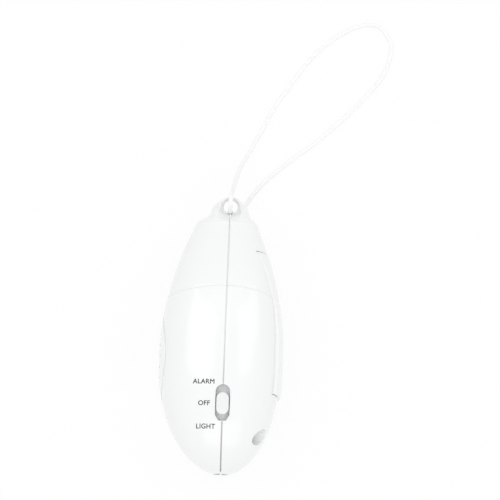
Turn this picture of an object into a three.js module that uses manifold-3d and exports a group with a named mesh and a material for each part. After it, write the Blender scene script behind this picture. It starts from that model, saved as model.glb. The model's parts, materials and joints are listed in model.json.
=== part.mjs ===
// Door guard alarm: a hand-sized egg-shaped alarm and torch on a cord loop.
// Millimetres. The body lies on one seam side: X runs from the front shell (-X) to the rear shell (+X),
// Y runs along the body from the torch tip to the cord eye, and Z points up out of the switch side.
import * as THREE from "three";
import { mergeVertices } from "three/addons/utils/BufferGeometryUtils.js";
import Module from "manifold-3d";

const wasm = await Module();
wasm.setup();

// Clearances
const gap = 0.3; // round a piece that is cut by its neighbour
const glueLine = 0.05; // between pieces glued or soldered flat on each other
const runningGap = 0.15; // round a screw's shank

// Body outline: depth is the half size at the waist, shoulder the half size where the cord eye begins
const body = {
  capLength: 38,
  waistLength: 10,
  flankLength: 46,
  shoulderRound: 3,
  wall: 1.8,
  seamGap: 0.4,
  stepStation: 66.5,
  stepHeight: 0.3,
  stepRamp: 0.4,
};
const front = { depth: 24.1, shoulder: 13.2, fullness: 1.9 };
const rear = { depth: 20.6, shoulder: 11, fullness: 2.05 };
const edge = { depth: 20.5, shoulder: 9.5, fullness: 2 };
const squareness = 2.4; // exponent of the superellipse that each cross section follows
const waistEnd = body.capLength + body.waistLength;
const shoulderStation = waistEnd + body.flankLength;

// Cord eye at the upper end
const eye = {
  height: 11.9, // from the shoulder to the top of the arch
  radius: 6.4,
  flare: 3,
  baseThickness: 8.6,
  topThickness: 2,
  taper: 1.5,
  holeRadius: 2.6,
  barWidth: 1.3,
  mouthFlare: 3.9,
  mouthReach: 7,
  scoop: [16, 6.8, 7.4], // half sizes of the hollow in each face
  scoopDrop: 1.3,
  webHalf: 2,
};

// Battery bay, cells and cover in the rear shell
const cell = { radius: 5.25, length: 44.5, nubRadius: 1.9, nubLength: 1, pitch: 10.8 };
const bay = { start: 31.4, floor: 2.5, wall: 1.4, floorWall: 1.2, sideClearance: 0.25 };
const contact = { thickness: 0.4, width: 7, reach: 2.6, springLength: 3.2, wire: 0.6, tabWidth: 2,
  tabThickness: 0.5 };
const cover = { rim: 2.1, sideRim: 0.3, thickness: 1.6, lift: 1.2, topLift: 0.3, gripLength: 5,
  gripWidth: 11, gripDepth: 0.7 };

// Siren in the front shell
const grille = {
  centre: 42.5,
  halfLength: 16,
  halfHeight: 10.8,
  ledge: 1.5,
  thickness: 1.1,
  proud: 0.4,
  slots: 5,
  slotWidth: 1.6,
  slotPitch: 4,
  slotShare: 0.62,
};
const siren = { chamberRadius: 13.4, chamberWall: 1.3, chamberSkin: 2.2, chamberEnd: 15.2,
  discRadius: 14.2, discThickness: 0.3 };
const crystal = { radius: 10, thickness: 0.25 };

// Slide switch: sizes are in its own frame, which leans with the surface of the body
const slide = {
  centre: 24.7,
  slotWidth: 5.7,
  slotChamfer: 1.4,
  knobWidth: 4.8,
  knobLength: 8,
  knobProud: 0.9,
  dishDepth: 0.35,
  travel: 2,
  flangeDepth: 2.85,
  flangeWidth: 7.6,
  flangeLength: 15,
  flangeThickness: 0.8,
};
const switchBox = { width: 6, length: 12, height: 4.2, metal: 0.4, baseThickness: 1, leverSize: 2,
  leverCover: 1.6 };
const terminal = { count: 4, pitch: 3, width: 0.9, thickness: 0.4, length: 3 };

// Torch lamp
const lamp = { radius: 2.5, length: 6.8, flangeRadius: 2.9, flangeThickness: 1, tipStation: 1.4,
  ribThickness: 1.2 };
const lead = { radius: 0.35, pitch: 1.27 };

// Circuit board and what is soldered to it; places are [station along Y, height along Z]
const board = { start: 34, overhang: 3.5, width: 25, thickness: 1.6, back: -1.8 };
const boardPosts = { radius: 2.4, places: [[60.5, 9.3], [60.5, -9.3]] };
const chip = { at: [45, -5], length: 8, width: 6, height: 2 };
const coil = { at: [67.5, -5.5], radius: 3.6, coreRadius: 1.8, height: 8, flange: 1 };
const transistor = { at: [54, 3], radius: 2.3, height: 4.6, flat: 1.3 };
const capacitor = { at: [54, -7], radius: 2.5, height: 8, groove: 0.25 };
const resistor = { places: [[44, 4.6], [44, 8.6]], radius: 1.1, length: 6 };
const sensor = { at: [68.5, 6], radius: 2.4, wall: 0.3, height: 9, baseHeight: 1.6, springTurns: 6 };

// Screws: the case screws sit in round recesses of the rear shell
const caseScrew = { station: 13.6, offset: 9, recessRadius: 3, seat: 5, headRadius: 2.3, headHeight: 1.5,
  radius: 1, length: 12 };
const bayScrew = { fromEnd: 6.3, headRadius: 1.9, headHeight: 1.1, radius: 0.9, length: 14 };
const boardScrew = { headRadius: 1.9, headHeight: 1.1, radius: 0.9, length: 7 };
const boss = { caseRadius: 4.1, bayRadius: 2.6 };
const wireRadius = 0.5;

// Cord: the points of its route are in the row's own frame, with the floor at zero
const cord = { diameter: 1.7, sides: 8, steps: 90, knotRadius: 2.3 };

const SEGMENTS = 24;
const FINE = 20;
const PAST = 40; // how far a cutting tool runs past the body

// Manifold solids from closed geometries, and back
function solid(geometry) {
  const bare = geometry.clone();
  bare.deleteAttribute("normal");
  bare.deleteAttribute("uv");
  const merged = mergeVertices(bare, 1e-4);
  const corners = Array.from(merged.index.array);
  const kept = [];
  for (let i = 0; i < corners.length; i += 3) {
    const [a, b, c] = corners.slice(i, i + 3);
    if (a !== b && b !== c && c !== a) kept.push(a, b, c);
  }
  const vertProperties = merged.attributes.position.array;
  return new wasm.Manifold(new wasm.Mesh({ numProp: 3, vertProperties, triVerts: new Uint32Array(kept) }));
}

function geometryOf(shape) {
  const { vertProperties, triVerts } = shape.getMesh();
  const geometry = new THREE.BufferGeometry();
  geometry.setAttribute("position", new THREE.BufferAttribute(Float32Array.from(vertProperties), 3));
  geometry.setIndex(new THREE.BufferAttribute(Uint32Array.from(triVerts), 1));
  geometry.computeVertexNormals();
  return geometry;
}

const joined = (first, ...others) => others.reduce((sum, other) => sum.add(other), first);
const cutBy = (first, ...tools) => tools.reduce((rest, tool) => rest.subtract(tool), first);

// Simple solids by their limits
function block(x0, x1, y0, y1, z0, z1) {
  const box = new THREE.BoxGeometry(x1 - x0, y1 - y0, z1 - z0);
  return solid(box.translate((x0 + x1) / 2, (y0 + y1) / 2, (z0 + z1) / 2));
}

function turned(profile, segments = FINE) {
  const points = profile.map(([radius, height]) => new THREE.Vector2(radius, height));
  return new THREE.LatheGeometry(points, segments);
}

// A turned piece whose axis lies along X, through a station and a height
function turnedAlongX(profile, station, height, segments = FINE) {
  return solid(turned(profile, segments).rotateZ(-Math.PI / 2).translate(0, station, height));
}

const rodProfile = (radius, from, to) => [[0, from], [radius, from], [radius, to], [0, to]];

function rodAlongX(radius, x0, x1, station, height, segments = FINE) {
  return turnedAlongX(rodProfile(radius, x0, x1), station, height, segments);
}

function screw({ headRadius, headHeight, radius, length }, seat, station, height) {
  const profile = [
    [0, seat - length],
    [radius * 0.4, seat - length],
    [radius, seat - length + radius],
    [radius, seat],
    [headRadius, seat],
    [headRadius, seat + headHeight * 0.6],
    [headRadius * 0.7, seat + headHeight],
    [0, seat + headHeight],
  ];
  const driveSlot = block(seat + headHeight * 0.5, seat + headHeight * 2, station - headRadius * 0.7,
    station + headRadius * 0.7,
    height - headRadius * 0.15, height + headRadius * 0.15);
  const crossSlot = block(seat + headHeight * 0.5, seat + headHeight * 2, station - headRadius * 0.15,
    station + headRadius * 0.15,
    height - headRadius * 0.7, height + headRadius * 0.7);
  return cutBy(turnedAlongX(profile, station, height, 12), driveSlot, crossSlot);
}

// Half size of the body at a station on one side; inset moves the surface inwards by a wall
function halfAt(station, side, inset = 0) {
  const depth = side.depth - inset;
  if (station < body.capLength) {
    const along = Math.min(1, (body.capLength - station) / (body.capLength - inset));
    return depth * Math.pow(1 - Math.pow(along, side.fullness), 1 / side.fullness);
  }
  const run = Math.max(0, station - waistEnd);
  const drop = side.depth - side.shoulder;
  const radius = (body.flankLength ** 2 + drop ** 2) / (2 * drop) - inset;
  const step = body.stepHeight * THREE.MathUtils.clamp((station - body.stepStation) / body.stepRamp, 0, 1);
  return depth - (radius - Math.sqrt(radius ** 2 - run ** 2)) - step;
}

function stationsOf(from, to, inset) {
  const capSteps = 9;
  const flankSteps = 7;
  const all = [from, body.capLength, waistEnd, body.stepStation, body.stepStation + body.stepRamp, to];
  for (let i = 0; i < capSteps; i++) {
    all.push(body.capLength - (body.capLength - inset) * Math.cos((i / capSteps) * (Math.PI / 2)));
  }
  for (let i = 1; i < flankSteps; i++) all.push(waistEnd + (i * body.flankLength) / flankSteps);
  const spaced = all.filter((y) => y >= from && y <= to).sort((a, b) => a - b);
  return spaced.filter((y, i) => i === 0 || y - spaced[i - 1] > 0.05);
}

// A closed form through rings, each a superellipse with its own half sizes to the front, rear and seam edges
function formed(rings) {
  const last = rings.length - 1;
  const profile = [[0, rings[0].y], ...rings.map((ring) => [1, ring.y]), [0, rings[last].y]];
  const points = profile.map(([radius, y]) => new THREE.Vector2(radius, y));
  const lathe = new THREE.LatheGeometry(points, SEGMENTS, Math.PI / SEGMENTS);
  const position = lathe.attributes.position;
  const widest = Math.cos(Math.PI / SEGMENTS);
  const rounded = (share) => Math.sign(share) * Math.pow(Math.min(1, Math.abs(share) / widest),
    2 / squareness);
  for (let i = 0; i < position.count; i++) {
    const ring = rings[THREE.MathUtils.clamp((i % profile.length) - 1, 0, last)];
    const [x, y, z] = [position.getX(i), position.getY(i), position.getZ(i)];
    if (Math.hypot(x, z) > 0.5) position.setXYZ(i, rounded(x) * (x < 0 ? ring.front : ring.rear), y,
      rounded(z) * ring.edge);
  }
  return solid(lathe);
}

// Height in X of the rear surface at a station and a place across it
function rearSurfaceAt(station, across, inset) {
  const share = across / halfAt(station, edge, inset);
  return halfAt(station, rear, inset) * Math.pow(1 - Math.pow(share, squareness), 1 / squareness);
}

function ringAt(y, inset = 0) {
  return { y, front: halfAt(y, front, inset), rear: halfAt(y, rear, inset), edge: halfAt(y, edge, inset) };
}

// The whole outer form with its rounded shoulder, moved inwards by inset
function bodyForm(inset = 0) {
  const tip = inset + 0.02;
  const rings = stationsOf(tip, shoulderStation, inset).map((y) => ringAt(y, inset));
  const top = rings[rings.length - 1];
  for (const angle of [30, 60, 85].map(THREE.MathUtils.degToRad)) {
    const fall = body.shoulderRound * (1 - Math.cos(angle));
    const y = shoulderStation + (body.shoulderRound - inset / 2) * Math.sin(angle);
    rings.push({ y, front: top.front - fall, rear: top.rear - fall, edge: top.edge - fall });
  }
  return formed(rings);
}

function hollowForm() {
  const end = shoulderStation - body.shoulderRound;
  return formed(stationsOf(body.wall + 0.02, end, body.wall).map((y) => ringAt(y, body.wall)));
}

// The arch that carries the cord
const eyeTop = shoulderStation + eye.height;
const eyeHole = eyeTop - eye.barWidth - eye.holeRadius;

function eyeForm() {
  const centre = eyeTop - eye.radius;
  const base = shoulderStation - 2;
  const thicknessAt = (y) => {
    const up = (y - base) / (eyeTop - base);
    return eye.topThickness + (eye.baseThickness - eye.topThickness) * (1 - Math.pow(up, eye.taper));
  };
  const rings = [0, 0.25, 0.5, 0.75].map((share) => {
    const y = base + share * (centre - base);
    return { y, width: eye.radius + eye.flare * (1 - share) ** 2 };
  });
  for (const angle of [0, 18, 36, 54, 68, 78].map(THREE.MathUtils.degToRad)) {
    rings.push({ y: centre + eye.radius * Math.sin(angle), width: eye.radius * Math.cos(angle) });
  }
  rings[rings.length - 1].y = eyeTop;
  return formed(rings.map(({ y, width }) => ({ y, front: width, rear: width, edge: thicknessAt(y) })));
}

function eyeHoleTool() {
  const heights = [-1.3, -1, -0.7, -0.4, 0, 0.4, 0.7, 1, 1.3];
  const wall = heights.map((share) => {
    return [eye.holeRadius + eye.mouthFlare * Math.abs(share) ** 1.5, share * eye.mouthReach];
  });
  const profile = [[0, wall[0][1]], ...wall, [0, wall[wall.length - 1][1]]];
  return solid(turned(profile, SEGMENTS).rotateX(Math.PI / 2).translate(0, eyeHole, 0));
}

// Hollows that leave a thin web round the hole
function eyeScoops() {
  const height = eye.webHalf + eye.scoop[2];
  return [height, -height].map((z) => {
    const hollow = new THREE.SphereGeometry(1, 40, 20).scale(...eye.scoop);
    return solid(hollow.translate(0, eyeTop - eye.scoopDrop, z));
  });
}

// Battery bay: worked out from the cells and their contacts
const cellSpace = cell.length + contact.springLength + 2 * (contact.thickness + 2 * gap) - gap;
const bayEnd = bay.start + cellSpace;
const bayHalf = cell.pitch / 2 + cell.radius + bay.sideClearance;
const cellAxis = bay.floor + gap + cell.radius;
const coverHalf = bayHalf + cover.sideRim;
const coverStart = bay.start - cover.rim;
const coverEnd = bayEnd + cover.rim - 2 * gap;
const bayScrewStation = bayEnd - bayScrew.fromEnd;
const boardEnd = bayScrewStation + board.overhang;

function skin(innerInset, outerInset, y0, y1) {
  const outer = (y) => (typeof outerInset === "function" ? outerInset(y) : outerInset);
  const stations = stationsOf(y0, y1, 0);
  const shell = formed(stations.map((y) => ringAt(y, outer(y))));
  const core = formed([y0 - 1, ...stations, y1 + 1].map((y) => ringAt(y, innerInset)));
  return cutBy(shell, core);
}

const coverLift = (y) => -THREE.MathUtils.mapLinear(
  THREE.MathUtils.clamp(y, waistEnd, coverEnd), waistEnd, coverEnd, cover.lift, cover.topLift);

function coverSolid() {
  const window = block(0, PAST, coverStart, coverEnd, -coverHalf, coverHalf);
  const plate = skin(cover.thickness, coverLift, coverStart - 1, coverEnd + 1).intersect(window);
  const gripStation = (coverStart + coverEnd) / 2 - cover.gripLength / 2;
  const face = halfAt(gripStation, rear) + cover.lift;
  const grip = block(face - cover.gripDepth, PAST, gripStation, gripStation + cover.gripLength,
    -cover.gripWidth / 2, cover.gripWidth / 2);
  return cutBy(plate, grip);
}

function bayBlock() {
  const outside = block(bay.floor - bay.floorWall, PAST, bay.start - bay.wall - cover.rim,
    bayEnd + bay.wall + cover.rim,
    -bayHalf - bay.wall, bayHalf + bay.wall);
  return outside.intersect(bodyForm(body.wall / 2));
}

function bayCuts() {
  const inside = block(bay.floor, PAST, bay.start, bayEnd, -bayHalf, bayHalf);
  const seat = skin(cover.thickness + gap, -PAST / 4, coverStart - gap - 1, coverEnd + gap + 1).intersect(
    block(0, PAST, coverStart - gap, coverEnd + gap, -coverHalf - gap, coverHalf + gap));
  const tabs = [1, -1].map((side) => {
    const middle = (side * cell.pitch) / 2;
    const half = contact.tabWidth / 2 + gap;
    return block(cellAxis - 3, cellAxis - 3 + contact.tabThickness + 2 * gap, bayEnd - 1,
      bayEnd + bay.wall + cover.rim + 1,
      middle - half, middle + half);
  });
  return [inside, seat, ...tabs];
}

// Front siren grille: an oval panel set in the front shell
function ovalAlongX(trim, x1) {
  const oval = rodAlongX(1, -PAST, x1, 0, 0, 40);
  return oval.scale([1, grille.halfLength + trim, grille.halfHeight + trim]).translate([0, grille.centre,
    0]);
}

function grillePlate(trim, innerInset, outerInset) {
  const reach = grille.halfLength + 2;
  const sheet = skin(innerInset, outerInset, grille.centre - reach, grille.centre + reach);
  return sheet.intersect(ovalAlongX(trim, -siren.chamberEnd + 1));
}

function grilleSolid() {
  const slots = [];
  for (let i = 0; i < grille.slots; i++) {
    const offset = (i - (grille.slots - 1) / 2) * grille.slotPitch;
    const half = grille.halfHeight * grille.slotShare * Math.sqrt(1 - (offset / grille.halfLength) ** 2);
    const middle = grille.centre + offset;
    slots.push(block(-PAST, 0, middle - grille.slotWidth / 2, middle + grille.slotWidth / 2, -half, half));
  }
  return cutBy(grillePlate(0, grille.thickness - grille.proud, -grille.proud), ...slots);
}

// Switch frame: local Y runs along the surface and local Z points out of it
const switchLean = Math.atan(
  (halfAt(slide.centre + 1, edge) - halfAt(slide.centre - 1, edge)) / 2);
const switchPlace = new THREE.Matrix4()
  .makeTranslation(0, slide.centre, halfAt(slide.centre, edge))
  .multiply(new THREE.Matrix4().makeRotationX(switchLean));
const slotLength = slide.knobLength + 2 * slide.travel + 2 * gap;
const flangeTop = -slide.flangeDepth;
const flangeBottom = flangeTop - slide.flangeThickness;
const boxTop = flangeBottom - gap * 1.5;
const boxBottom = boxTop - switchBox.height;

function prism(outline, z0, z1) {
  const shape = new THREE.Shape(outline.map(([x, y]) => new THREE.Vector2(x, y)));
  return new THREE.ExtrudeGeometry(shape, { depth: z1 - z0, bevelEnabled: false }).translate(0, 0, z0);
}

function halfRound(width, length, steps) {
  const radius = width / 2;
  const outline = [];
  for (let i = 0; i <= steps; i++) {
    const angle = (Math.PI * i) / steps;
    outline.push([radius * Math.cos(angle), length / 2 - radius + radius * Math.sin(angle)]);
  }
  return outline;
}

function slotTool() {
  const half = slide.slotWidth / 2;
  const foot = -slotLength / 2;
  const outline = [...halfRound(slide.slotWidth, slotLength, 6), [-half, foot + slide.slotChamfer * 1.6],
    [-half + slide.slotChamfer, foot], [half - slide.slotChamfer, foot],
    [half, foot + slide.slotChamfer * 1.6]];
  return solid(prism(outline, flangeTop + gap / 2, 4)).transform(switchPlace.elements);
}

function knobSolid() {
  const upper = halfRound(slide.knobWidth, slide.knobLength, 8);
  const outline = [...upper, ...upper.map(([x, y]) => [-x, -y])];
  const cap = solid(prism(outline, flangeTop - 0.1, slide.knobProud));
  const flange = block(-slide.flangeWidth / 2, slide.flangeWidth / 2, -slide.flangeLength / 2,
    slide.flangeLength / 2,
    flangeBottom, flangeTop);
  const dish = solid(new THREE.SphereGeometry(1, 16, 10)
    .scale(slide.knobWidth * 0.36, slide.knobLength * 0.4, slide.dishDepth)
    .translate(0, 0, slide.knobProud));
  const socketHalf = switchBox.leverSize / 2 + gap;
  const socket = block(-socketHalf, socketHalf, -socketHalf, socketHalf, flangeBottom - 1,
    flangeTop + switchBox.leverCover);
  return cutBy(joined(cap, flange), dish, socket);
}

function switchBoxSolid() {
  const { width, length, metal, leverSize } = switchBox;
  const outside = block(-width / 2, width / 2, -length / 2, length / 2, boxBottom, boxTop);
  const inside = block(-width / 2 + metal, width / 2 - metal, -length, length, boxBottom - 1,
    boxTop - metal);
  const window = block(-leverSize / 2 - gap, leverSize / 2 + gap, -leverSize / 2 - slide.travel - gap,
    leverSize / 2 + slide.travel + gap, boxTop - 2 * metal, boxTop + 1);
  return cutBy(outside, inside, window);
}

function leverSolid() {
  const { width, metal, leverSize, leverCover } = switchBox;
  const half = leverSize / 2;
  const stem = block(-half, half, -half, half, boxTop - metal - 1, flangeTop + leverCover - gap);
  const foot = block(-width / 2 + metal + gap, width / 2 - metal - gap, -half - slide.travel / 2,
    half + slide.travel / 2,
    boxTop - metal - gap - 1.2, boxTop - metal - gap);
  return joined(stem, foot);
}

// Ribs in both shells that hold the ends of the switch
function switchRibs() {
  const top = flangeBottom - gap;
  return [1, -1].map((end) => {
    const from = switchBox.length / 2 + gap;
    const limits = end > 0 ? [from, from + 1.2] : [-from - 1.2, -from];
    const rib = block(-PAST / 2, PAST / 2, ...limits, boxBottom, top);
    return rib.transform(switchPlace.elements).intersect(bodyForm(body.wall / 2));
  });
}

// Room round the switch in whatever the shells put near it
function switchRoom() {
  const { width, length } = switchBox;
  const room = block(-width / 2 - gap, width / 2 + gap, -length / 2 - gap, length / 2 + gap,
    boxBottom - terminal.length - 2 * gap, flangeBottom);
  return room.transform(switchPlace.elements);
}

// Torch lamp seat: two ribs with a round notch, one each side of the lamp's flange
const lampBase = lamp.tipStation + lamp.length;

function lampRibs() {
  const notch = solid(turned(rodProfile(lamp.radius + gap, 0, lampBase + 8), 16));
  const starts = [lampBase - gap - lamp.ribThickness, lampBase + lamp.flangeThickness + gap];
  return starts.map((y) => {
    const rib = block(-PAST, PAST, y, y + lamp.ribThickness, -4.5, 4.5).intersect(bodyForm(body.wall / 2));
    return cutBy(rib, notch);
  });
}

// Shells
const boardFront = board.back - board.thickness;
const halfSpace = (sign) => (sign < 0
  ? block(-PAST, -body.seamGap / 2, -PAST, 4 * PAST, -PAST, PAST)
  : block(body.seamGap / 2, PAST, -PAST, 4 * PAST, -PAST, PAST));
const lampHole = () => solid(turned(rodProfile(lamp.radius + gap, -5, lampBase), 16));
const postPlaces = [...boardPosts.places, [bayScrewStation, 0]];
const casePlaces = [caseScrew.offset, -caseScrew.offset].map((height) => [caseScrew.station, height]);

function emptyShell() {
  const outer = joined(bodyForm(), eyeForm());
  return cutBy(outer, hollowForm(), eyeHoleTool(), ...eyeScoops());
}

function frontShell(empty, ribs) {
  const within = bodyForm(body.wall / 2);
  const ring = rodAlongX(siren.chamberRadius + siren.chamberWall, -PAST, -siren.chamberEnd, grille.centre,
    0, 32);
  const posts = postPlaces.map(([y, z]) => rodAlongX(boardPosts.radius, -PAST, boardFront - glueLine, y, z,
    12));
  const bosses = casePlaces.map(([y, z]) => rodAlongX(boss.caseRadius - 1, -PAST, 0, y, z, 12));
  const added = [ring, ...posts, ...bosses].map((piece) => piece.intersect(within));
  const chamber = rodAlongX(siren.chamberRadius, -PAST, 0, grille.centre, 0,
    32).intersect(bodyForm(siren.chamberSkin));
  const pilots = [
    ...postPlaces.map(([y, z]) => rodAlongX(boardScrew.radius + runningGap, boardFront - bayScrew.length,
      0, y, z, 8)),
    ...casePlaces.map(([y, z]) => rodAlongX(caseScrew.radius + runningGap,
      caseScrew.seat - caseScrew.length - 1, 0, y, z, 8)),
  ];
  const seat = grillePlate(gap, grille.thickness - grille.proud + gap, -PAST / 8);
  const mouth = ovalAlongX(-grille.ledge, -siren.chamberEnd + 1);
  const whole = joined(empty, ...added, ...ribs).intersect(halfSpace(-1));
  return cutBy(whole, chamber, seat, mouth, slotTool(), lampHole(), ...pilots);
}

function rearShell(empty, ribs) {
  const within = bodyForm(body.wall / 2);
  const bosses = casePlaces.map(([y, z]) => rodAlongX(boss.caseRadius, 0, PAST, y, z,
    16).intersect(within));
  const seated = joined(empty, bayBlock(), ...bosses, ...ribs).intersect(halfSpace(1));
  const spacer = rodAlongX(boss.bayRadius, board.back + glueLine, bay.floor - bay.floorWall / 2,
    bayScrewStation, 0, 12);
  const recesses = casePlaces.flatMap(([y, z]) => [
    rodAlongX(caseScrew.recessRadius, caseScrew.seat, PAST, y, z, 20),
    rodAlongX(caseScrew.radius + runningGap, -1, PAST, y, z, 8),
  ]);
  const bayHole = rodAlongX(bayScrew.radius + runningGap, board.back - 1, bay.floor + 1, bayScrewStation,
    0, 8);
  return cutBy(joined(seated, spacer), ...bayCuts(), ...recesses, bayHole, slotTool(), switchRoom(),
    lampHole());
}

// Curves for wires, springs and the cord
class Coil extends THREE.Curve {
  constructor(radius, endRadius, turns, length) {
    super();
    Object.assign(this, { radius, endRadius, turns, length });
  }
  getPoint(t) {
    const angle = 2 * Math.PI * this.turns * t;
    const radius = THREE.MathUtils.lerp(this.radius, this.endRadius, t);
    return new THREE.Vector3(radius * Math.cos(angle), this.length * t, radius * Math.sin(angle));
  }
}

function tube(curve, radius, sides, steps) {
  const section = new THREE.Shape();
  for (let i = 0; i < sides; i++) {
    const angle = (2 * Math.PI * i) / sides;
    section[i ? "lineTo" : "moveTo"](radius * Math.cos(angle), radius * Math.sin(angle));
  }
  return new THREE.ExtrudeGeometry(section, { steps, bevelEnabled: false, extrudePath: curve });
}

const through = (points) => new THREE.CatmullRomCurve3(points.map((p) => new THREE.Vector3(...p)), false,
  "centripetal");
const wire = (points, radius = wireRadius) => tube(through(points), radius, 6, 10);

// Meshes
const finishes = {
  shell: { color: 0xf7f8f8, roughness: 0.25, metalness: 0 },
  knob: { color: 0xf4f5f5, roughness: 0.3, metalness: 0 },
  steel: { color: 0xb9bcc0, roughness: 0.35, metalness: 1 },
  brass: { color: 0xc9a24b, roughness: 0.35, metalness: 1 },
  copper: { color: 0xb5612f, roughness: 0.4, metalness: 1 },
  ceramic: { color: 0xe8e4d8, roughness: 0.6, metalness: 0 },
  board: { color: 0x2f6b3a, roughness: 0.55, metalness: 0 },
  base: { color: 0x6b4226, roughness: 0.6, metalness: 0 },
  dark: { color: 0x1c1c1e, roughness: 0.5, metalness: 0 },
  resistor: { color: 0xc9b48a, roughness: 0.5, metalness: 0 },
  red: { color: 0xb3261e, roughness: 0.5, metalness: 0 },
  black: { color: 0x161616, roughness: 0.5, metalness: 0 },
  yellow: { color: 0xd9b92e, roughness: 0.5, metalness: 0 },
  cell: { color: 0x3b4a63, roughness: 0.35, metalness: 0.2 },
  lamp: { color: 0xe9eef2, roughness: 0.1, metalness: 0 },
  cord: { color: 0xf4f4f2, roughness: 0.85, metalness: 0 },
};

function mesh(name, shape, finish) {
  const geometry = shape.isBufferGeometry ? shape : geometryOf(shape);
  const made = new THREE.Mesh(geometry, new THREE.MeshStandardMaterial(finishes[finish]));
  made.name = name;
  return made;
}

function caseMeshes() {
  const empty = emptyShell();
  const ribs = [...switchRibs(), ...lampRibs()];
  return [
    mesh("front_shell", frontShell(empty, ribs), "shell"),
    mesh("rear_shell", rearShell(empty, ribs), "shell"),
    mesh("battery_cover", coverSolid(), "shell"),
    mesh("siren_grille", grilleSolid(), "shell"),
    ...casePlaces.map(([y, z], i) => mesh(`case_screw_${i + 1}`,
      screw(caseScrew, caseScrew.seat + glueLine, y, z), "steel")),
    mesh("bay_screw", screw(bayScrew, bay.floor + glueLine, bayScrewStation, 0), "steel"),
  ];
}

function switchMeshes() {
  const { width, length, metal, baseThickness } = switchBox;
  const group = new THREE.Group();
  group.applyMatrix4(switchPlace);
  const base = block(-width / 2 + metal + glueLine, width / 2 - metal - glueLine, -length / 2, length / 2,
    boxBottom, boxBottom + baseThickness);
  group.add(mesh("switch_knob", knobSolid(), "knob"));
  group.add(mesh("switch_lever", leverSolid(), "dark"));
  group.add(mesh("switch_frame", switchBoxSolid(), "steel"));
  group.add(mesh("switch_base", base, "base"));
  for (let i = 0; i < terminal.count; i++) {
    const middle = (i - (terminal.count - 1) / 2) * terminal.pitch;
    const pin = block(-terminal.thickness / 2, terminal.thickness / 2, middle - terminal.width / 2,
      middle + terminal.width / 2,
      boxBottom - glueLine - terminal.length, boxBottom - glueLine);
    group.add(mesh(`switch_terminal_${i + 1}`, pin, "brass"));
  }
  return group;
}

// Wires from three of the switch's terminals to the back of the board
function switchWires() {
  const colours = ["red", "yellow", "black"];
  return colours.map((colour, i) => {
    const middle = (i - (terminal.count - 1) / 2) * terminal.pitch;
    const start = new THREE.Vector3(0, middle,
      boxBottom - terminal.length - glueLine - gap).applyMatrix4(switchPlace);
    const x = board.back + wireRadius + gap;
    const z = start.z - terminal.pitch * (colours.length - i - 0.2);
    const points = [start.toArray(), [0, start.y + 1, start.z - 2], [x, board.start - 1.5, z],
      [x, board.start + 3, z]];
    return mesh(`switch_wire_${i + 1}`, wire(points), colour);
  });
}

function boardMeshes() {
  const face = boardFront - glueLine;
  const half = board.width / 2;
  const holes = postPlaces.map(([y, z]) => rodAlongX(boardScrew.radius + runningGap, boardFront - 1,
    board.back + 1, y, z, 8));
  const blank = block(boardFront, board.back, board.start, boardEnd, -half, half);
  const onBoard = (profile, [y, z], segments) => turnedAlongX(profile.map(([r, h]) => [r,
    face - h]).reverse(), y, z, segments);
  const { at: [chipY, chipZ] } = chip;
  const chipSolid = block(face - chip.height, face, chipY - chip.length / 2, chipY + chip.length / 2,
    chipZ - chip.width / 2, chipZ + chip.width / 2);
  const coilTop = coil.height - coil.flange;
  const core = [[0, 0], [coil.radius, 0], [coil.radius, coil.flange], [coil.coreRadius, coil.flange],
    [coil.coreRadius, coilTop], [coil.radius, coilTop], [coil.radius, coil.height], [0, coil.height]];
  const windingIn = coil.coreRadius + glueLine;
  const winding = [[windingIn, coil.flange + glueLine], [coil.radius - 0.4, coil.flange + glueLine],
    [coil.radius - 0.4, coilTop - glueLine], [windingIn, coilTop - glueLine],
    [windingIn, coil.flange + glueLine]];
  const can = [[0, 0], [capacitor.radius, 0], [capacitor.radius, 1],
    [capacitor.radius - capacitor.groove, 1.3],
    [capacitor.radius, 1.6], [capacitor.radius, capacitor.height - 0.3],
    [capacitor.radius - 0.3, capacitor.height], [0, capacitor.height]];
  const round = onBoard(rodProfile(transistor.radius, 0, transistor.height), transistor.at, 16);
  const flat = block(face - PAST, face + 1, transistor.at[0] + transistor.flat, transistor.at[0] + PAST,
    transistor.at[1] - PAST, transistor.at[1] + PAST);
  return [
    mesh("main_board", cutBy(blank, ...holes), "board"),
    ...boardPosts.places.map(([y, z], i) => mesh(`board_screw_${i + 1}`,
      screw(boardScrew, board.back + glueLine, y, z), "steel")),
    mesh("sound_chip", chipSolid, "dark"),
    mesh("coil_core", onBoard(core, coil.at, 16), "dark"),
    mesh("coil_winding", onBoard(winding, coil.at, 16), "copper"),
    mesh("drive_transistor", cutBy(round, flat), "dark"),
    mesh("storage_capacitor", onBoard(can, capacitor.at, 16), "dark"),
    ...resistor.places.map(([y, z], i) => {
      const { radius, length } = resistor;
      const bead = [[0, 0], [radius, 0], [radius, length * 0.22], [radius * 0.8, length * 0.3],
        [radius * 0.8, length * 0.7],
        [radius, length * 0.78], [radius, length], [0, length]];
      return mesh(`resistor_${i + 1}`, turned(bead, 12).translate(face - radius, y - length / 2, z),
        "resistor");
    }),
  ];
}

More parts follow.
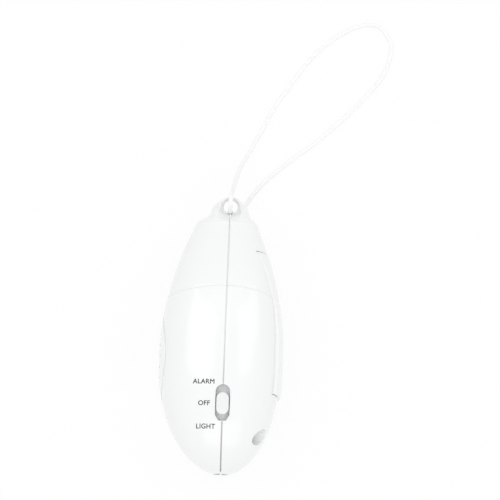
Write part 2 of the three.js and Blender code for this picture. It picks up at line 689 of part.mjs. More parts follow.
// Knock sensor: a pin inside a fine spring, in a metal can
function sensorMeshes() {
  const face = boardFront - glueLine;
  const { at: [y, z], radius, wall, height, baseHeight, springTurns } = sensor;
  const standing = (geometry) => geometry.rotateZ(Math.PI / 2).translate(face, y, z);
  const lift = baseHeight + glueLine;
  const can = [[radius - wall, lift], [radius, lift], [radius, height], [0, height], [0, height - wall],
    [radius - wall, height - wall], [radius - wall, lift]];
  const plug = [[0, 0], [radius, 0], [radius, baseHeight], [0, baseHeight]];
  const coilRadius = radius - wall - gap - 0.3;
  const spring = tube(new Coil(coilRadius, coilRadius, springTurns, height - lift - 2 * gap - 1.4), 0.16,
    4, springTurns * 9);
  const pin = rodProfile(0.4, lift, height - wall - 1);
  return [
    mesh("sensor_can", standing(turned(can, 16)), "steel"),
    mesh("sensor_base", standing(turned(plug, 16)), "dark"),
    mesh("sensor_spring", standing(spring.translate(0, lift + gap, 0)), "brass"),
    mesh("sensor_pin", standing(turned(pin, 8)), "steel"),
  ];
}

function sirenMeshes() {
  const discFace = -siren.chamberEnd + glueLine;
  const discBack = discFace + siren.discThickness;
  const crystalFace = discBack + glueLine;
  const crystalBack = crystalFace + crystal.thickness;
  const { centre } = grille;
  const outside = siren.chamberRadius + siren.chamberWall;
  const rest = wireRadius + gap;
  const across = (from, share) => THREE.MathUtils.lerp(from + rest, boardFront - gap, share);
  const wires = [
    [
      [across(discBack, 0), centre + siren.discRadius * 0.84, crystal.radius * 0.4],
      [across(discBack, 0.35), centre + siren.discRadius, crystal.radius * 0.15],
      [across(discBack, 0.7), centre + outside + rest, -crystal.radius * 0.1],
      [across(discBack, 1), centre + outside + rest, -crystal.radius * 0.16],
    ],
    [
      [across(crystalBack, 0), centre + crystal.radius * 0.3, 0],
      [across(crystalBack, 0.35), centre + crystal.radius * 0.6, -crystal.radius * 0.05],
      [across(crystalBack, 0.7), centre + crystal.radius * 0.8, -crystal.radius * 0.1],
      [across(crystalBack, 1), centre + crystal.radius * 0.8, -crystal.radius * 0.1],
    ],
  ];
  return [
    mesh("siren_disc", rodAlongX(siren.discRadius, discFace, discBack, centre, 0, 32), "brass"),
    mesh("siren_crystal", rodAlongX(crystal.radius, crystalFace, crystalBack, centre, 0, 28), "ceramic"),
    mesh("siren_wire_1", wire(wires[0]), "black"),
    mesh("siren_wire_2", wire(wires[1]), "red"),
  ];
}

function lampMeshes() {
  const dome = [0, 30, 60, 90].map(THREE.MathUtils.degToRad).map((angle) => {
    return [lamp.radius * Math.sin(angle), lamp.tipStation + lamp.radius * (1 - Math.cos(angle))];
  });
  const back = lampBase + lamp.flangeThickness;
  const profile = [...dome, [lamp.radius, lampBase], [lamp.flangeRadius, lampBase],
    [lamp.flangeRadius, back], [0, back]];
  const leads = [1, -1].map((side, i) => {
    const z = side * lead.pitch;
    const points = [[0, back + gap, z], [0, back + 6, z], [-1.6, board.start - 8, z * 1.5],
      [boardFront / 2 + board.back / 2, board.start - gap, z * 2]];
    return mesh(`lamp_lead_${i + 1}`, wire(points, lead.radius), "steel");
  });
  return [mesh("lamp_led", turned(profile, 16), "lamp"), ...leads];
}

// Two cells side by side, pointing opposite ways, with their contacts
const plateRoom = contact.thickness + gap;

function cellGeometry(upright) {
  const bodyLength = cell.length - cell.nubLength;
  const profile = [[0, 0], [cell.radius - 0.6, 0], [cell.radius, 0.6], [cell.radius, bodyLength - 0.6],
    [cell.radius - 0.6, bodyLength], [cell.nubRadius, bodyLength], [cell.nubRadius, cell.length],
    [0, cell.length]];
  const made = turned(profile, 20);
  return upright ? made : made.rotateX(Math.PI).translate(0, cell.length, 0);
}

function batteryMeshes() {
  const half = cell.pitch / 2;
  const lowSeat = bay.start + plateRoom + gap;
  const highSeat = bayEnd - plateRoom - gap;
  const springTurns = 3;
  const wide = contact.width / 2;
  const tab = (side) => block(cellAxis - 3 + gap, cellAxis - 3 + gap + contact.tabThickness,
    bayEnd - gap - 0.1,
    bayEnd + bay.wall + cover.rim + 1, side * half - contact.tabWidth / 2,
    side * half + contact.tabWidth / 2);
  const plate = (y0, z0, z1, top) => block(cellAxis - wide, top, y0, y0 + contact.thickness, z0, z1);
  const coverInside = rearSurfaceAt(bayEnd, half + wide, cover.thickness);
  const spring = (y) => {
    const room = contact.springLength - gap - 2 * contact.wire;
    return tube(new Coil(3, 1.6, springTurns, room), contact.wire / 2, 6,
      springTurns * 10).translate(cellAxis, y, 0);
  };
  const topPlate = (side) => joined(
    plate(bayEnd - plateRoom, side * half - wide, side * half + wide, coverInside - 2 * gap), tab(side));
  const wireStation = bayEnd + bay.wall + cover.rim + wireRadius + gap;
  const wires = [1, -1].map((side, i) => {
    const z = side * half;
    const boardMiddle = (board.back + boardFront) / 2;
    const points = [
      [cellAxis - 3 - wireRadius, wireStation, z],
      [bay.floor - bay.floorWall, wireStation, z],
      [boardMiddle, wireStation - wireRadius, z * 0.9],
      [boardMiddle, boardEnd + gap, z * 0.8],
    ];
    return mesh(`battery_wire_${i + 1}`, wire(points), i ? "black" : "red");
  });
  return [
    mesh("battery_1", cellGeometry(true).translate(cellAxis, lowSeat + contact.springLength - gap, half),
      "cell"),
    mesh("battery_2", cellGeometry(false).translate(cellAxis, lowSeat, -half), "cell"),
    mesh("bridge_contact", plate(bay.start + gap, -half - wide, half + wide, cellAxis + contact.reach),
      "steel"),
    mesh("bridge_spring", spring(lowSeat + contact.wire / 2).translate(0, 0, half), "steel"),
    mesh("positive_contact", topPlate(1), "steel"),
    mesh("negative_contact", topPlate(-1), "steel"),
    mesh("negative_spring", spring(0).rotateZ(Math.PI).translate(2 * cellAxis, highSeat - contact.wire / 2,
      -half), "steel"),
    ...wires,
  ];
}

// The cord: from its knot under the eye, up through the hole, over the arch and round on the floor
const cordRoute = [
  [3, 48.5, 4.9], [2.6, 48.6, 8.5], [1.9, 48.5, 12.5], [1.3, 48.2, 16.5], [1.1, 47.6, 19.4], [1.2, 47, 22],
  [1.2, 46.1, 24.5], [1.2, 46.3, 26.9], [1.3, 47.4, 28.5], [1.4, 49.3, 29.1], [1.5, 51.2, 28.5],
  [1.7, 52.7, 27],
  [1.9, 54, 24.9], [2.1, 56, 21.9], [2.5, 58.8, 18.4], [3.1, 62.2, 14.6], [3.9, 66.2, 10.7],
  [5.4, 70.4, 7.1],
  [7.2, 74.6, 4.2], [8.9, 78.6, 2.1], [10.7, 82.6, 1.1], [12.8, 86.8, 0.9], [16.6, 94.8, 0.9],
  [21.9, 103.4, 0.9],
  [26.2, 109.9, 0.9], [30.9, 116.5, 0.9], [39.2, 124.8, 0.9], [48, 130.6, 0.9], [53.2, 132.3, 0.9],
  [58.4, 131.7, 0.9],
  [61.8, 127.9, 0.9], [63.7, 123.3, 0.9], [62.6, 116.4, 0.9], [59.8, 109.6, 0.9], [53.6, 101.6, 0.9],
  [46.3, 93.5, 0.9],
  [40, 87.3, 0.9], [31.8, 79.9, 0.9], [24, 73.6, 0.9], [15.1, 65.6, 0.9], [9.5, 58.9, 0.9],
  [6.5, 54.2, 1.1],
  [4.7, 51.1, 1.7],
];
const knotPlace = [3, 48.5, 2.3];

function cordMeshes() {
  const knot = new THREE.SphereGeometry(cord.knotRadius, 14, 10).translate(...knotPlace);
  return [
    mesh("cord_loop", tube(through(cordRoute), cord.diameter / 2, cord.sides, cord.steps), "cord"),
    mesh("cord_knot", knot, "cord"),
  ];
}

const device = new THREE.Group();
device.add(...caseMeshes(), switchMeshes(), ...switchWires(), ...boardMeshes(), ...sensorMeshes(),
  ...sirenMeshes(),
  ...lampMeshes(), ...batteryMeshes());

// The device's lowest middle point is the origin
const limits = new THREE.Box3().setFromObject(device, true);
const middle = limits.getCenter(new THREE.Vector3());
device.position.set(-middle.x, -middle.y, -limits.min.z);

const door_guard_alarm = new THREE.Group();
door_guard_alarm.add(device, ...cordMeshes());
export default door_guard_alarm;
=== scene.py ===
"""Looks of a door guard alarm: a glossy white egg of two shells with a slide switch, a torch lamp and a cord loop.

Every size below is in millimetres unless it says otherwise, in the frame of the part: X runs from the front shell
to the rear shell, Y from the torch tip to the cord eye, and Z up out of the side with the switch.
"""
import json
import logging
import math
from dataclasses import dataclass
from enum import Enum
from typing import Callable, Iterable, Sequence

import bmesh
import bpy
from mathutils import Matrix, Vector

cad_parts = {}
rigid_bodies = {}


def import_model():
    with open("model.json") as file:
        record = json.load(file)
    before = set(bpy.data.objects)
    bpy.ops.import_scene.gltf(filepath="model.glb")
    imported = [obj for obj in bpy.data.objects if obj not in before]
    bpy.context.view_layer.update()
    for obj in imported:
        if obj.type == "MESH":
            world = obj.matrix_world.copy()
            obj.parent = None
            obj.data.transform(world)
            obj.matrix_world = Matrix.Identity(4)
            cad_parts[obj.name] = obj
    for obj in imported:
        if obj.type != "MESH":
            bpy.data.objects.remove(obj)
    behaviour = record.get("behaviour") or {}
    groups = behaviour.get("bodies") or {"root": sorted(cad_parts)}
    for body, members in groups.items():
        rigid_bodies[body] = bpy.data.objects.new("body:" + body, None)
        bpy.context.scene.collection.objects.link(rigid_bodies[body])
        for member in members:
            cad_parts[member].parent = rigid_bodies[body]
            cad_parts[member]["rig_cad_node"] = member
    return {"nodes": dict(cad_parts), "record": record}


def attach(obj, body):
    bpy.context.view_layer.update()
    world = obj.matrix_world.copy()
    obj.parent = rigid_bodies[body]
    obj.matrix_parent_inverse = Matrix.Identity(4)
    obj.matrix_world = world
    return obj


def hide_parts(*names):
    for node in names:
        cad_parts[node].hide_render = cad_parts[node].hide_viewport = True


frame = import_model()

logging.basicConfig(level=logging.INFO, format="%(message)s")
LOG = logging.getLogger("door_guard_alarm")
MM = 0.001
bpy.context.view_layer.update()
ORIGIN_SHIFT = Vector((1.35, -53.135, 20.5))  # from the tip of the body to the frame of the part
FAR = 60.0  # beyond every surface, for the ends of cutting tools
LEAST = 0.02  # from a form's own tip to its first ring, and between two rings
MERGE = 1e-5  # largest distance between points that count as one
CUT_TRIES = 4  # how often a cut is tried
HAIR = (1e-6, 2e-6, 1.5e-6)  # shift of a tool for each new try, in metres
EDGE_ANGLE = 40.0  # smallest angle in degrees between faces that is rounded
Point = tuple[float, float, float]
Colour = tuple[float, float, float, float]


# Mesh tools

def to_object(name: str, work: bmesh.types.BMesh, smooth: bool = True) -> bpy.types.Object:
    """Turns a bmesh in millimetres into a linked object in metres.

    Args:
        name: Name of the new piece.
        work: Mesh in millimetres in the frame of the part; it is freed.
        smooth: Whether its faces are shaded smooth.

    Returns:
        The object, at the origin.
    """
    bmesh.ops.scale(work, vec=(MM, MM, MM), verts=work.verts)
    data = bpy.data.meshes.new(name)
    work.to_mesh(data)
    work.free()
    for polygon in data.polygons:
        polygon.use_smooth = smooth
    made = bpy.data.objects.new(name, data)
    bpy.context.scene.collection.objects.link(made)
    return made


def split(work: bmesh.types.BMesh, place: Sequence[float], normal: Sequence[float]) -> None:
    """Cuts a mesh along a plane and keeps both sides."""
    geometry = [*work.verts, *work.edges, *work.faces]
    bmesh.ops.bisect_plane(work, geom=geometry, dist=MERGE, plane_co=place, plane_no=normal)


def thicken(work: bmesh.types.BMesh, shift: Point) -> None:
    """Extrudes a flat mesh into a closed one.

    Args:
        work: Flat mesh.
        shift: How far and where its copy lies.
    """
    raised = bmesh.ops.extrude_face_region(work, geom=work.faces[:])
    verts = [vert for vert in raised["geom"] if isinstance(vert, bmesh.types.BMVert)]
    bmesh.ops.translate(work, vec=shift, verts=verts)
    bmesh.ops.recalc_face_normals(work, faces=work.faces)


def settle(piece: bpy.types.Object) -> bpy.types.Object:
    """Applies a piece's modifiers to its mesh.

    Args:
        piece: Object whose modifiers are done.

    Returns:
        The same object.
    """
    bpy.context.view_layer.update()
    graph = bpy.context.evaluated_depsgraph_get()
    done = bpy.data.meshes.new_from_object(piece.evaluated_get(graph))
    piece.modifiers.clear()
    piece.data = done
    return piece


def grown(after: bpy.types.Mesh, before: bpy.types.Mesh) -> bool:
    """Says whether a cut went wrong.

    Args:
        after: Mesh that came out of the cut.
        before: Mesh that was cut.

    Returns:
        Whether it is empty or reaches beyond the mesh that was cut.
    """
    if not after.vertices:
        return True
    for axis in range(3):
        old, new = ([vert.co[axis] for vert in mesh.vertices] for mesh in (before, after))
        if min(new) < min(old) - MERGE or max(new) > max(old) + MERGE:
            return True
    return False


def carve(piece: bpy.types.Object, tools: Iterable[bpy.types.Object], operation: str = "DIFFERENCE") -> None:
    """Cuts tools from a piece, or keeps only what lies in them, and deletes the tools.

    A cut that comes out larger than its piece is done again, with the tool moved by a hair.

    Args:
        piece: Object to cut.
        tools: Closed objects.
        operation: Name of the boolean operation.
    """
    for tool in tools:
        before = piece.data
        for attempt in range(CUT_TRIES):
            piece.data = before
            tool.location = Vector(HAIR) * attempt
            cut = piece.modifiers.new("cut", "BOOLEAN")
            cut.object = tool
            cut.operation = operation
            cut.solver = "EXACT"
            settle(piece)
            if operation == "UNION" or not grown(piece.data, before):
                break
            LOG.info("cut of %s by %s came out larger", piece.name, tool.name)
        bpy.data.objects.remove(tool)


def soften(piece: bpy.types.Object, width: float, segments: int = 3) -> None:
    """Rounds a piece's sharp edges.

    Args:
        piece: Object to round.
        width: Width of the rounding.
        segments: Number of faces across a rounding.
    """
    rounding = piece.modifiers.new("edges", "BEVEL")
    rounding.width = width * MM
    rounding.segments = segments
    rounding.limit_method = "ANGLE"
    rounding.angle_limit = math.radians(EDGE_ANGLE)
    rounding.use_clamp_overlap = True
    rounding.miter_outer = "MITER_ARC"
    settle(piece)


def shade_by_angle(piece: bpy.types.Object, angle: float = 30.0) -> None:
    """Keeps edges above an angle crisp in the shading.

    Args:
        piece: Object to shade.
        angle: Largest angle that is shaded smooth, in degrees.
    """
    work = bmesh.new()
    work.from_mesh(piece.data)
    for edge in work.edges:
        if len(edge.link_faces) == 2:
            edge.smooth = edge.calc_face_angle(0.0) < math.radians(angle)
    for face in work.faces:
        face.smooth = True
    work.to_mesh(piece.data)
    work.free()


def turned(profile: Sequence[tuple[float, float]], axis: str, place: Point, steps: int = 48) -> bmesh.types.BMesh:
    """Turns a profile of (radius, height) points, from axis to axis, once round.

    Args:
        profile: Points along the outside; the first and the last lie on the axis.
        axis: "X", "Y" or "Z".
        place: Where height zero lies on the axis.
        steps: Number of faces round.

    Returns:
        A closed mesh in millimetres.
    """
    work = bmesh.new()
    points = [work.verts.new((radius, 0.0, height)) for radius, height in profile]
    edges = [work.edges.new(pair) for pair in zip(points, points[1:])]
    bmesh.ops.spin(work, geom=[*points, *edges], cent=(0, 0, 0), axis=(0, 0, 1), angle=2 * math.pi, steps=steps,
                   use_merge=True, use_duplicate=False)
    turn = {"X": Matrix.Rotation(math.pi / 2, 4, "Y"), "Y": Matrix.Rotation(-math.pi / 2, 4, "X"),
            "Z": Matrix.Identity(4)}[axis]
    bmesh.ops.transform(work, matrix=Matrix.Translation(place) @ turn, verts=work.verts)
    bmesh.ops.remove_doubles(work, verts=work.verts, dist=MERGE)
    bmesh.ops.recalc_face_normals(work, faces=work.faces)
    return work


def block(low: Point, high: Point) -> bmesh.types.BMesh:
    """Makes a plain block between two corners, for cutting.

    Args:
        low: Lowest corner.
        high: Highest corner.

    Returns:
        A closed mesh in millimetres.
    """
    work = bmesh.new()
    bmesh.ops.create_cube(work, size=1.0)
    bmesh.ops.scale(work, vec=Vector(high) - Vector(low), verts=work.verts)
    bmesh.ops.translate(work, vec=(Vector(high) + Vector(low)) / 2, verts=work.verts)
    return work


def stadium(radius: float, half: float, start: float, end: float, segments: int = 32) -> bmesh.types.BMesh:
    """Makes a block with round ends, long in Y.

    Args:
        radius: Radius of its ends.
        half: Half the distance between the centres of its ends.
        start: Its lowest height.
        end: Its highest height.
        segments: Faces round both ends together.

    Returns:
        A closed mesh in millimetres.
    """
    work = bmesh.new()
    bmesh.ops.create_circle(work, cap_ends=True, segments=segments, radius=radius)
    bmesh.ops.rotate(work, cent=(0, 0, 0), matrix=Matrix.Rotation(math.pi / segments, 3, "Z"), verts=work.verts)
    for vert in work.verts:
        vert.co.y += math.copysign(half, vert.co.y)
        vert.co.z = start
    thicken(work, (0, 0, end - start))
    return work


# Shader tools

class Wire:
    """A shader socket that takes part in Python expressions."""

    def __init__(self, tree: bpy.types.NodeTree, socket: bpy.types.NodeSocket) -> None:
        """Keeps the socket and its tree."""
        self.tree = tree
        self.socket = socket

    def _math(self, operation: str, *values: "Wire | float") -> "Wire":
        """Adds a Math node over values and returns its output."""
        return add_node(self.tree, "ShaderNodeMath", {"operation": operation}, dict(enumerate(values)))

    def __add__(self, other: "Wire | float") -> "Wire":
        """Adds."""
        return self._math("ADD", self, other)

    __radd__ = __add__

    def __mul__(self, other: "Wire | float") -> "Wire":
        """Multiplies."""
        return self._math("MULTIPLY", self, other)

    __rmul__ = __mul__

    def __sub__(self, other: "Wire | float") -> "Wire":
        """Subtracts."""
        return self._math("SUBTRACT", self, other)

    def __rsub__(self, other: "Wire | float") -> "Wire":
        """Subtracts this from a value."""
        return self._math("SUBTRACT", other, self)

    def sine(self) -> "Wire":
        """Takes the sine."""
        return self._math("SINE", self)

    def clamp(self) -> "Wire":
        """Keeps the value between 0 and 1."""
        return self._math("MINIMUM", self._math("MAXIMUM", self, 0.0), 1.0)


def add_node(tree: bpy.types.NodeTree, kind: str, settings: dict, inputs: dict, output: "int | str" = 0) -> Wire:
    """Adds a shader node.

    Args:
        tree: Node tree to add to.
        kind: Node type.
        settings: Attributes set before the inputs; "stops" are a ramp's (position, colour) pairs.
        inputs: Values or wires by input name or index.
        output: Output that is returned.

    Returns:
        The wire of that output.
    """
    node = tree.nodes.new(kind)
    for name, value in settings.items():
        if name == "stops":
            ramp = node.color_ramp
            while len(ramp.elements) < len(value):
                ramp.elements.new(0.5)
            for element, (position, colour) in zip(ramp.elements, value):
                element.position = position
                element.color = colour
        else:
            setattr(node, name, value)
    for key, value in inputs.items():
        target = node.inputs[key]
        if isinstance(value, Wire):
            tree.links.new(value.socket, target)
        else:
            target.default_value = value
    return Wire(tree, node.outputs[output])


def seen_rays(tree: bpy.types.NodeTree) -> Wire:
    """Tells rays that are seen from rays that only light.

    Args:
        tree: Tree of a material or world.

    Returns:
        1 for rays from the camera, a reflection or a clear piece, and 0 for others.
    """
    path = tree.nodes.new("ShaderNodeLightPath")
    kinds = ("Camera", "Glossy", "Transmission")
    camera, glossy, passing = (Wire(tree, path.outputs[f"Is {kind} Ray"]) for kind in kinds)
    return (camera + glossy + passing).clamp()


def grey(value: float) -> Colour:
    """Makes a neutral colour."""
    return (value, value, value, 1.0)


class Sheen(Enum):
    """How a surface answers light: roughness, metallic and coat weight."""

    GLOSS = (0.2, 0.0, 0.35)
    SATIN = (0.34, 0.0, 0.12)
    MATT = (0.6, 0.0, 0.0)
    METAL = (0.3, 1.0, 0.0)
    WOVEN = (0.9, 0.0, 0.0)


@dataclass(frozen=True)
class Finish:
    """A procedural finish on Object coordinates.

    Attributes:
        name: Name of the material.
        colour: Base colour, linear.
        sheen: How glossy it is.
        grain: Size of the fine relief.
        relief: Height of that relief.
        mottle: How much the colour varies.
        patch: Size of the colour's patches.
    """

    name: str
    colour: Colour
    sheen: Sheen
    grain: float = 0.6
    relief: float = 0.004
    mottle: float = 0.01
    patch: float = 9.0

    def tinted(self, tree: bpy.types.NodeTree, share: Wire) -> Wire:
        """Mixes the colour with a slightly darker one."""
        darker = tuple(channel * (1 - self.mottle * 4) for channel in self.colour[:3]) + (1.0,)
        return add_node(tree, "ShaderNodeMix", {"data_type": "RGBA"}, {0: share, 6: self.colour, 7: darker}, 2)

    def height(self, tree: bpy.types.NodeTree, place: Wire) -> Wire:
        """Gives the fine relief of a moulded surface."""
        settings = {"Vector": place, "Scale": 1 / (self.grain * MM), "Detail": 2.0, "Roughness": 0.5}
        return add_node(tree, "ShaderNodeTexNoise", {}, settings)

    def build(self) -> bpy.types.Material:
        """Makes the material.

        Returns:
            The material.
        """
        made = bpy.data.materials.new(self.name)
        made.use_nodes = True
        tree = made.node_tree
        tree.nodes.clear()
        roughness, metallic, coat = self.sheen.value
        place = add_node(tree, "ShaderNodeTexCoord", {}, {}, "Object")
        broad = {"Vector": place, "Scale": 1 / (self.patch * MM), "Detail": 3.0, "Roughness": 0.55}
        patches = add_node(tree, "ShaderNodeTexNoise", {}, broad)
        fine = self.height(tree, place)
        bump = {"Strength": 0.5, "Distance": self.relief * MM, "Height": fine}
        normal = add_node(tree, "ShaderNodeBump", {}, bump, "Normal")
        shader = add_node(tree, "ShaderNodeBsdfPrincipled", {}, {
            "Base Color": self.tinted(tree, patches), "Roughness": roughness + (patches - 0.5) * 0.12,
            "Metallic": metallic, "Coat Weight": coat, "Normal": normal}, "BSDF")
        output = tree.nodes.new("ShaderNodeOutputMaterial")
        tree.links.new(shader.socket, output.inputs["Surface"])
        return made


@dataclass(frozen=True)
class BraidFinish(Finish):
    """Woven cord: two sets of strands that cross, on the piece's own UV map.

    Attributes:
        strands: Strands round the cord.
        pitch: Crossings along each metre of cord.
    """

    strands: float = 8.0
    pitch: float = 900.0

    def height(self, tree: bpy.types.NodeTree, place: Wire) -> Wire:
        """Gives the relief of the braid.

        Args:
            tree: Tree of the material.
            place: Coordinates, which the braid doesn't use.

        Returns:
            The height's wire.
        """
        chart = add_node(tree, "ShaderNodeTexCoord", {}, {}, "UV")
        around = add_node(tree, "ShaderNodeSeparateXYZ", {}, {0: chart}, 0) * (2 * math.pi * self.strands)
        along = add_node(tree, "ShaderNodeSeparateXYZ", {}, {0: chart}, 1) * (2 * math.pi * self.pitch)
        return (around + along).sine() * 0.5 + (around - along).sine() * 0.5


@dataclass(frozen=True)
class ClearFinish(Finish):
    """Water-clear moulded plastic of a lamp body.

    Attributes:
        passing: How much light passes through.
    """

    passing: float = 0.75

    def build(self) -> bpy.types.Material:
        """Makes the material.

        Returns:
            The material.
        """
        made = super().build()
        shader = next(node for node in made.node_tree.nodes if node.type == "BSDF_PRINCIPLED")
        shader.inputs["Transmission Weight"].default_value = self.passing
        shader.inputs["IOR"].default_value = 1.5
        return made


class Slot(Enum):
    """The record's material slots and their finishes."""

    WHITE_SHELL = Finish("white_shell", (0.9, 0.905, 0.91, 1.0), Sheen.GLOSS, 0.5, 0.0025, 0.004, 14.0)
    WHITE_KNOB = Finish("white_knob", (0.86, 0.865, 0.87, 1.0), Sheen.SATIN, 0.25, 0.004, 0.006, 3.0)
    BLACK_PLASTIC = Finish("black_plastic", grey(0.02), Sheen.MATT, 0.3, 0.01, 0.05, 3.0)
    PLATED_STEEL = Finish("plated_steel", (0.66, 0.67, 0.69, 1.0), Sheen.METAL, 0.2, 0.003, 0.03, 2.0)
    BROWN_BASE = Finish("brown_base", (0.16, 0.07, 0.03, 1.0), Sheen.MATT, 0.3, 0.01, 0.06, 2.0)
    BRASS_SHEET = Finish("brass_sheet", (0.72, 0.5, 0.2, 1.0), Sheen.METAL, 0.25, 0.003, 0.05, 3.0)
    RED_INSULATION = Finish("red_insulation", (0.5, 0.03, 0.02, 1.0), Sheen.SATIN, 0.3, 0.004, 0.03, 3.0)
    YELLOW_INSULATION = Finish("yellow_insulation", (0.7, 0.48, 0.04, 1.0), Sheen.SATIN, 0.3, 0.004, 0.03, 3.0)
    BLACK_INSULATION = Finish("black_insulation", grey(0.02), Sheen.SATIN, 0.3, 0.004, 0.03, 3.0)
    GREEN_BOARD = Finish("green_board", (0.02, 0.14, 0.04, 1.0), Sheen.SATIN, 0.8, 0.01, 0.08, 4.0)
    COPPER_WIRE = Finish("copper_wire", (0.55, 0.2, 0.08, 1.0), Sheen.METAL, 0.15, 0.02, 0.08, 1.0)
    TAN_COATING = Finish("tan_coating", (0.5, 0.34, 0.16, 1.0), Sheen.SATIN, 0.3, 0.004, 0.05, 1.0)
    WHITE_CERAMIC = Finish("white_ceramic", (0.74, 0.7, 0.62, 1.0), Sheen.MATT, 0.3, 0.006, 0.05, 4.0)
    CLEAR_LAMP = ClearFinish("clear_lamp", (0.86, 0.88, 0.9, 1.0), Sheen.GLOSS, 0.5, 0.001, 0.01, 3.0)
    CELL_SLEEVE = Finish("cell_sleeve", (0.05, 0.09, 0.16, 1.0), Sheen.SATIN, 0.6, 0.003, 0.05, 6.0)
    WHITE_CORD = BraidFinish("white_cord", (0.96, 0.96, 0.955, 1.0), Sheen.WOVEN, 0.3, 0.022, 0.01, 4.0)
    LABEL_INK = Finish("label_ink", grey(0.02), Sheen.MATT, 0.2, 0.001, 0.08, 0.8)


class Paintbox:
    """Makes each finish once and gives it to pieces."""

    def __init__(self) -> None:
        """Starts with no finishes made."""
        self.made: dict[str, bpy.types.Material] = {}

    def dress(self, piece: bpy.types.Object, finish: Finish, slot: str = "") -> bpy.types.Object:
        """Gives a piece one finish.

        Args:
            piece: Object to dress.
            finish: Its finish.
            slot: Slot of the record; not used.

        Returns:
            The same object.
        """
        if finish.name not in self.made:
            self.made[finish.name] = finish.build()
        piece.data.materials.clear()
        piece.data.materials.append(self.made[finish.name])
        if "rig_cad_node" not in piece:
            slot or finish.name
        return piece

    def fit(self, piece: bpy.types.Object, finish: Finish, body: str, *nodes: str, slot: str = "") -> bpy.types.Object:
        """Dresses a new piece, puts it on its body and in the place of its nodes.

        Args:
            piece: New piece.
            finish: Its finish.
            body: Body that it moves with.
            nodes: Nodes that it stands for.
            slot: Slot of the record, where it isn't the finish's name.

        Returns:
            The same object.
        """
        self.dress(piece, finish, slot)
        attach(piece, body)
        if nodes:
            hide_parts(*nodes)
        LOG.info("piece %s on %s, %d faces", piece.name, body, len(piece.data.polygons))
        return piece


# Body form

@dataclass(frozen=True)
class Side:
    """Half sizes of the body towards one side.

    Attributes:
        depth: Half size at the waist.
        shoulder: Half size where the cord eye begins.
        fullness: Exponent of the rounded cap at the tip.
        neck: Half sizes past the shoulder, at the outline's neck stations.
    """

    depth: float
    shoulder: float
    fullness: float
    neck: tuple[float, ...]


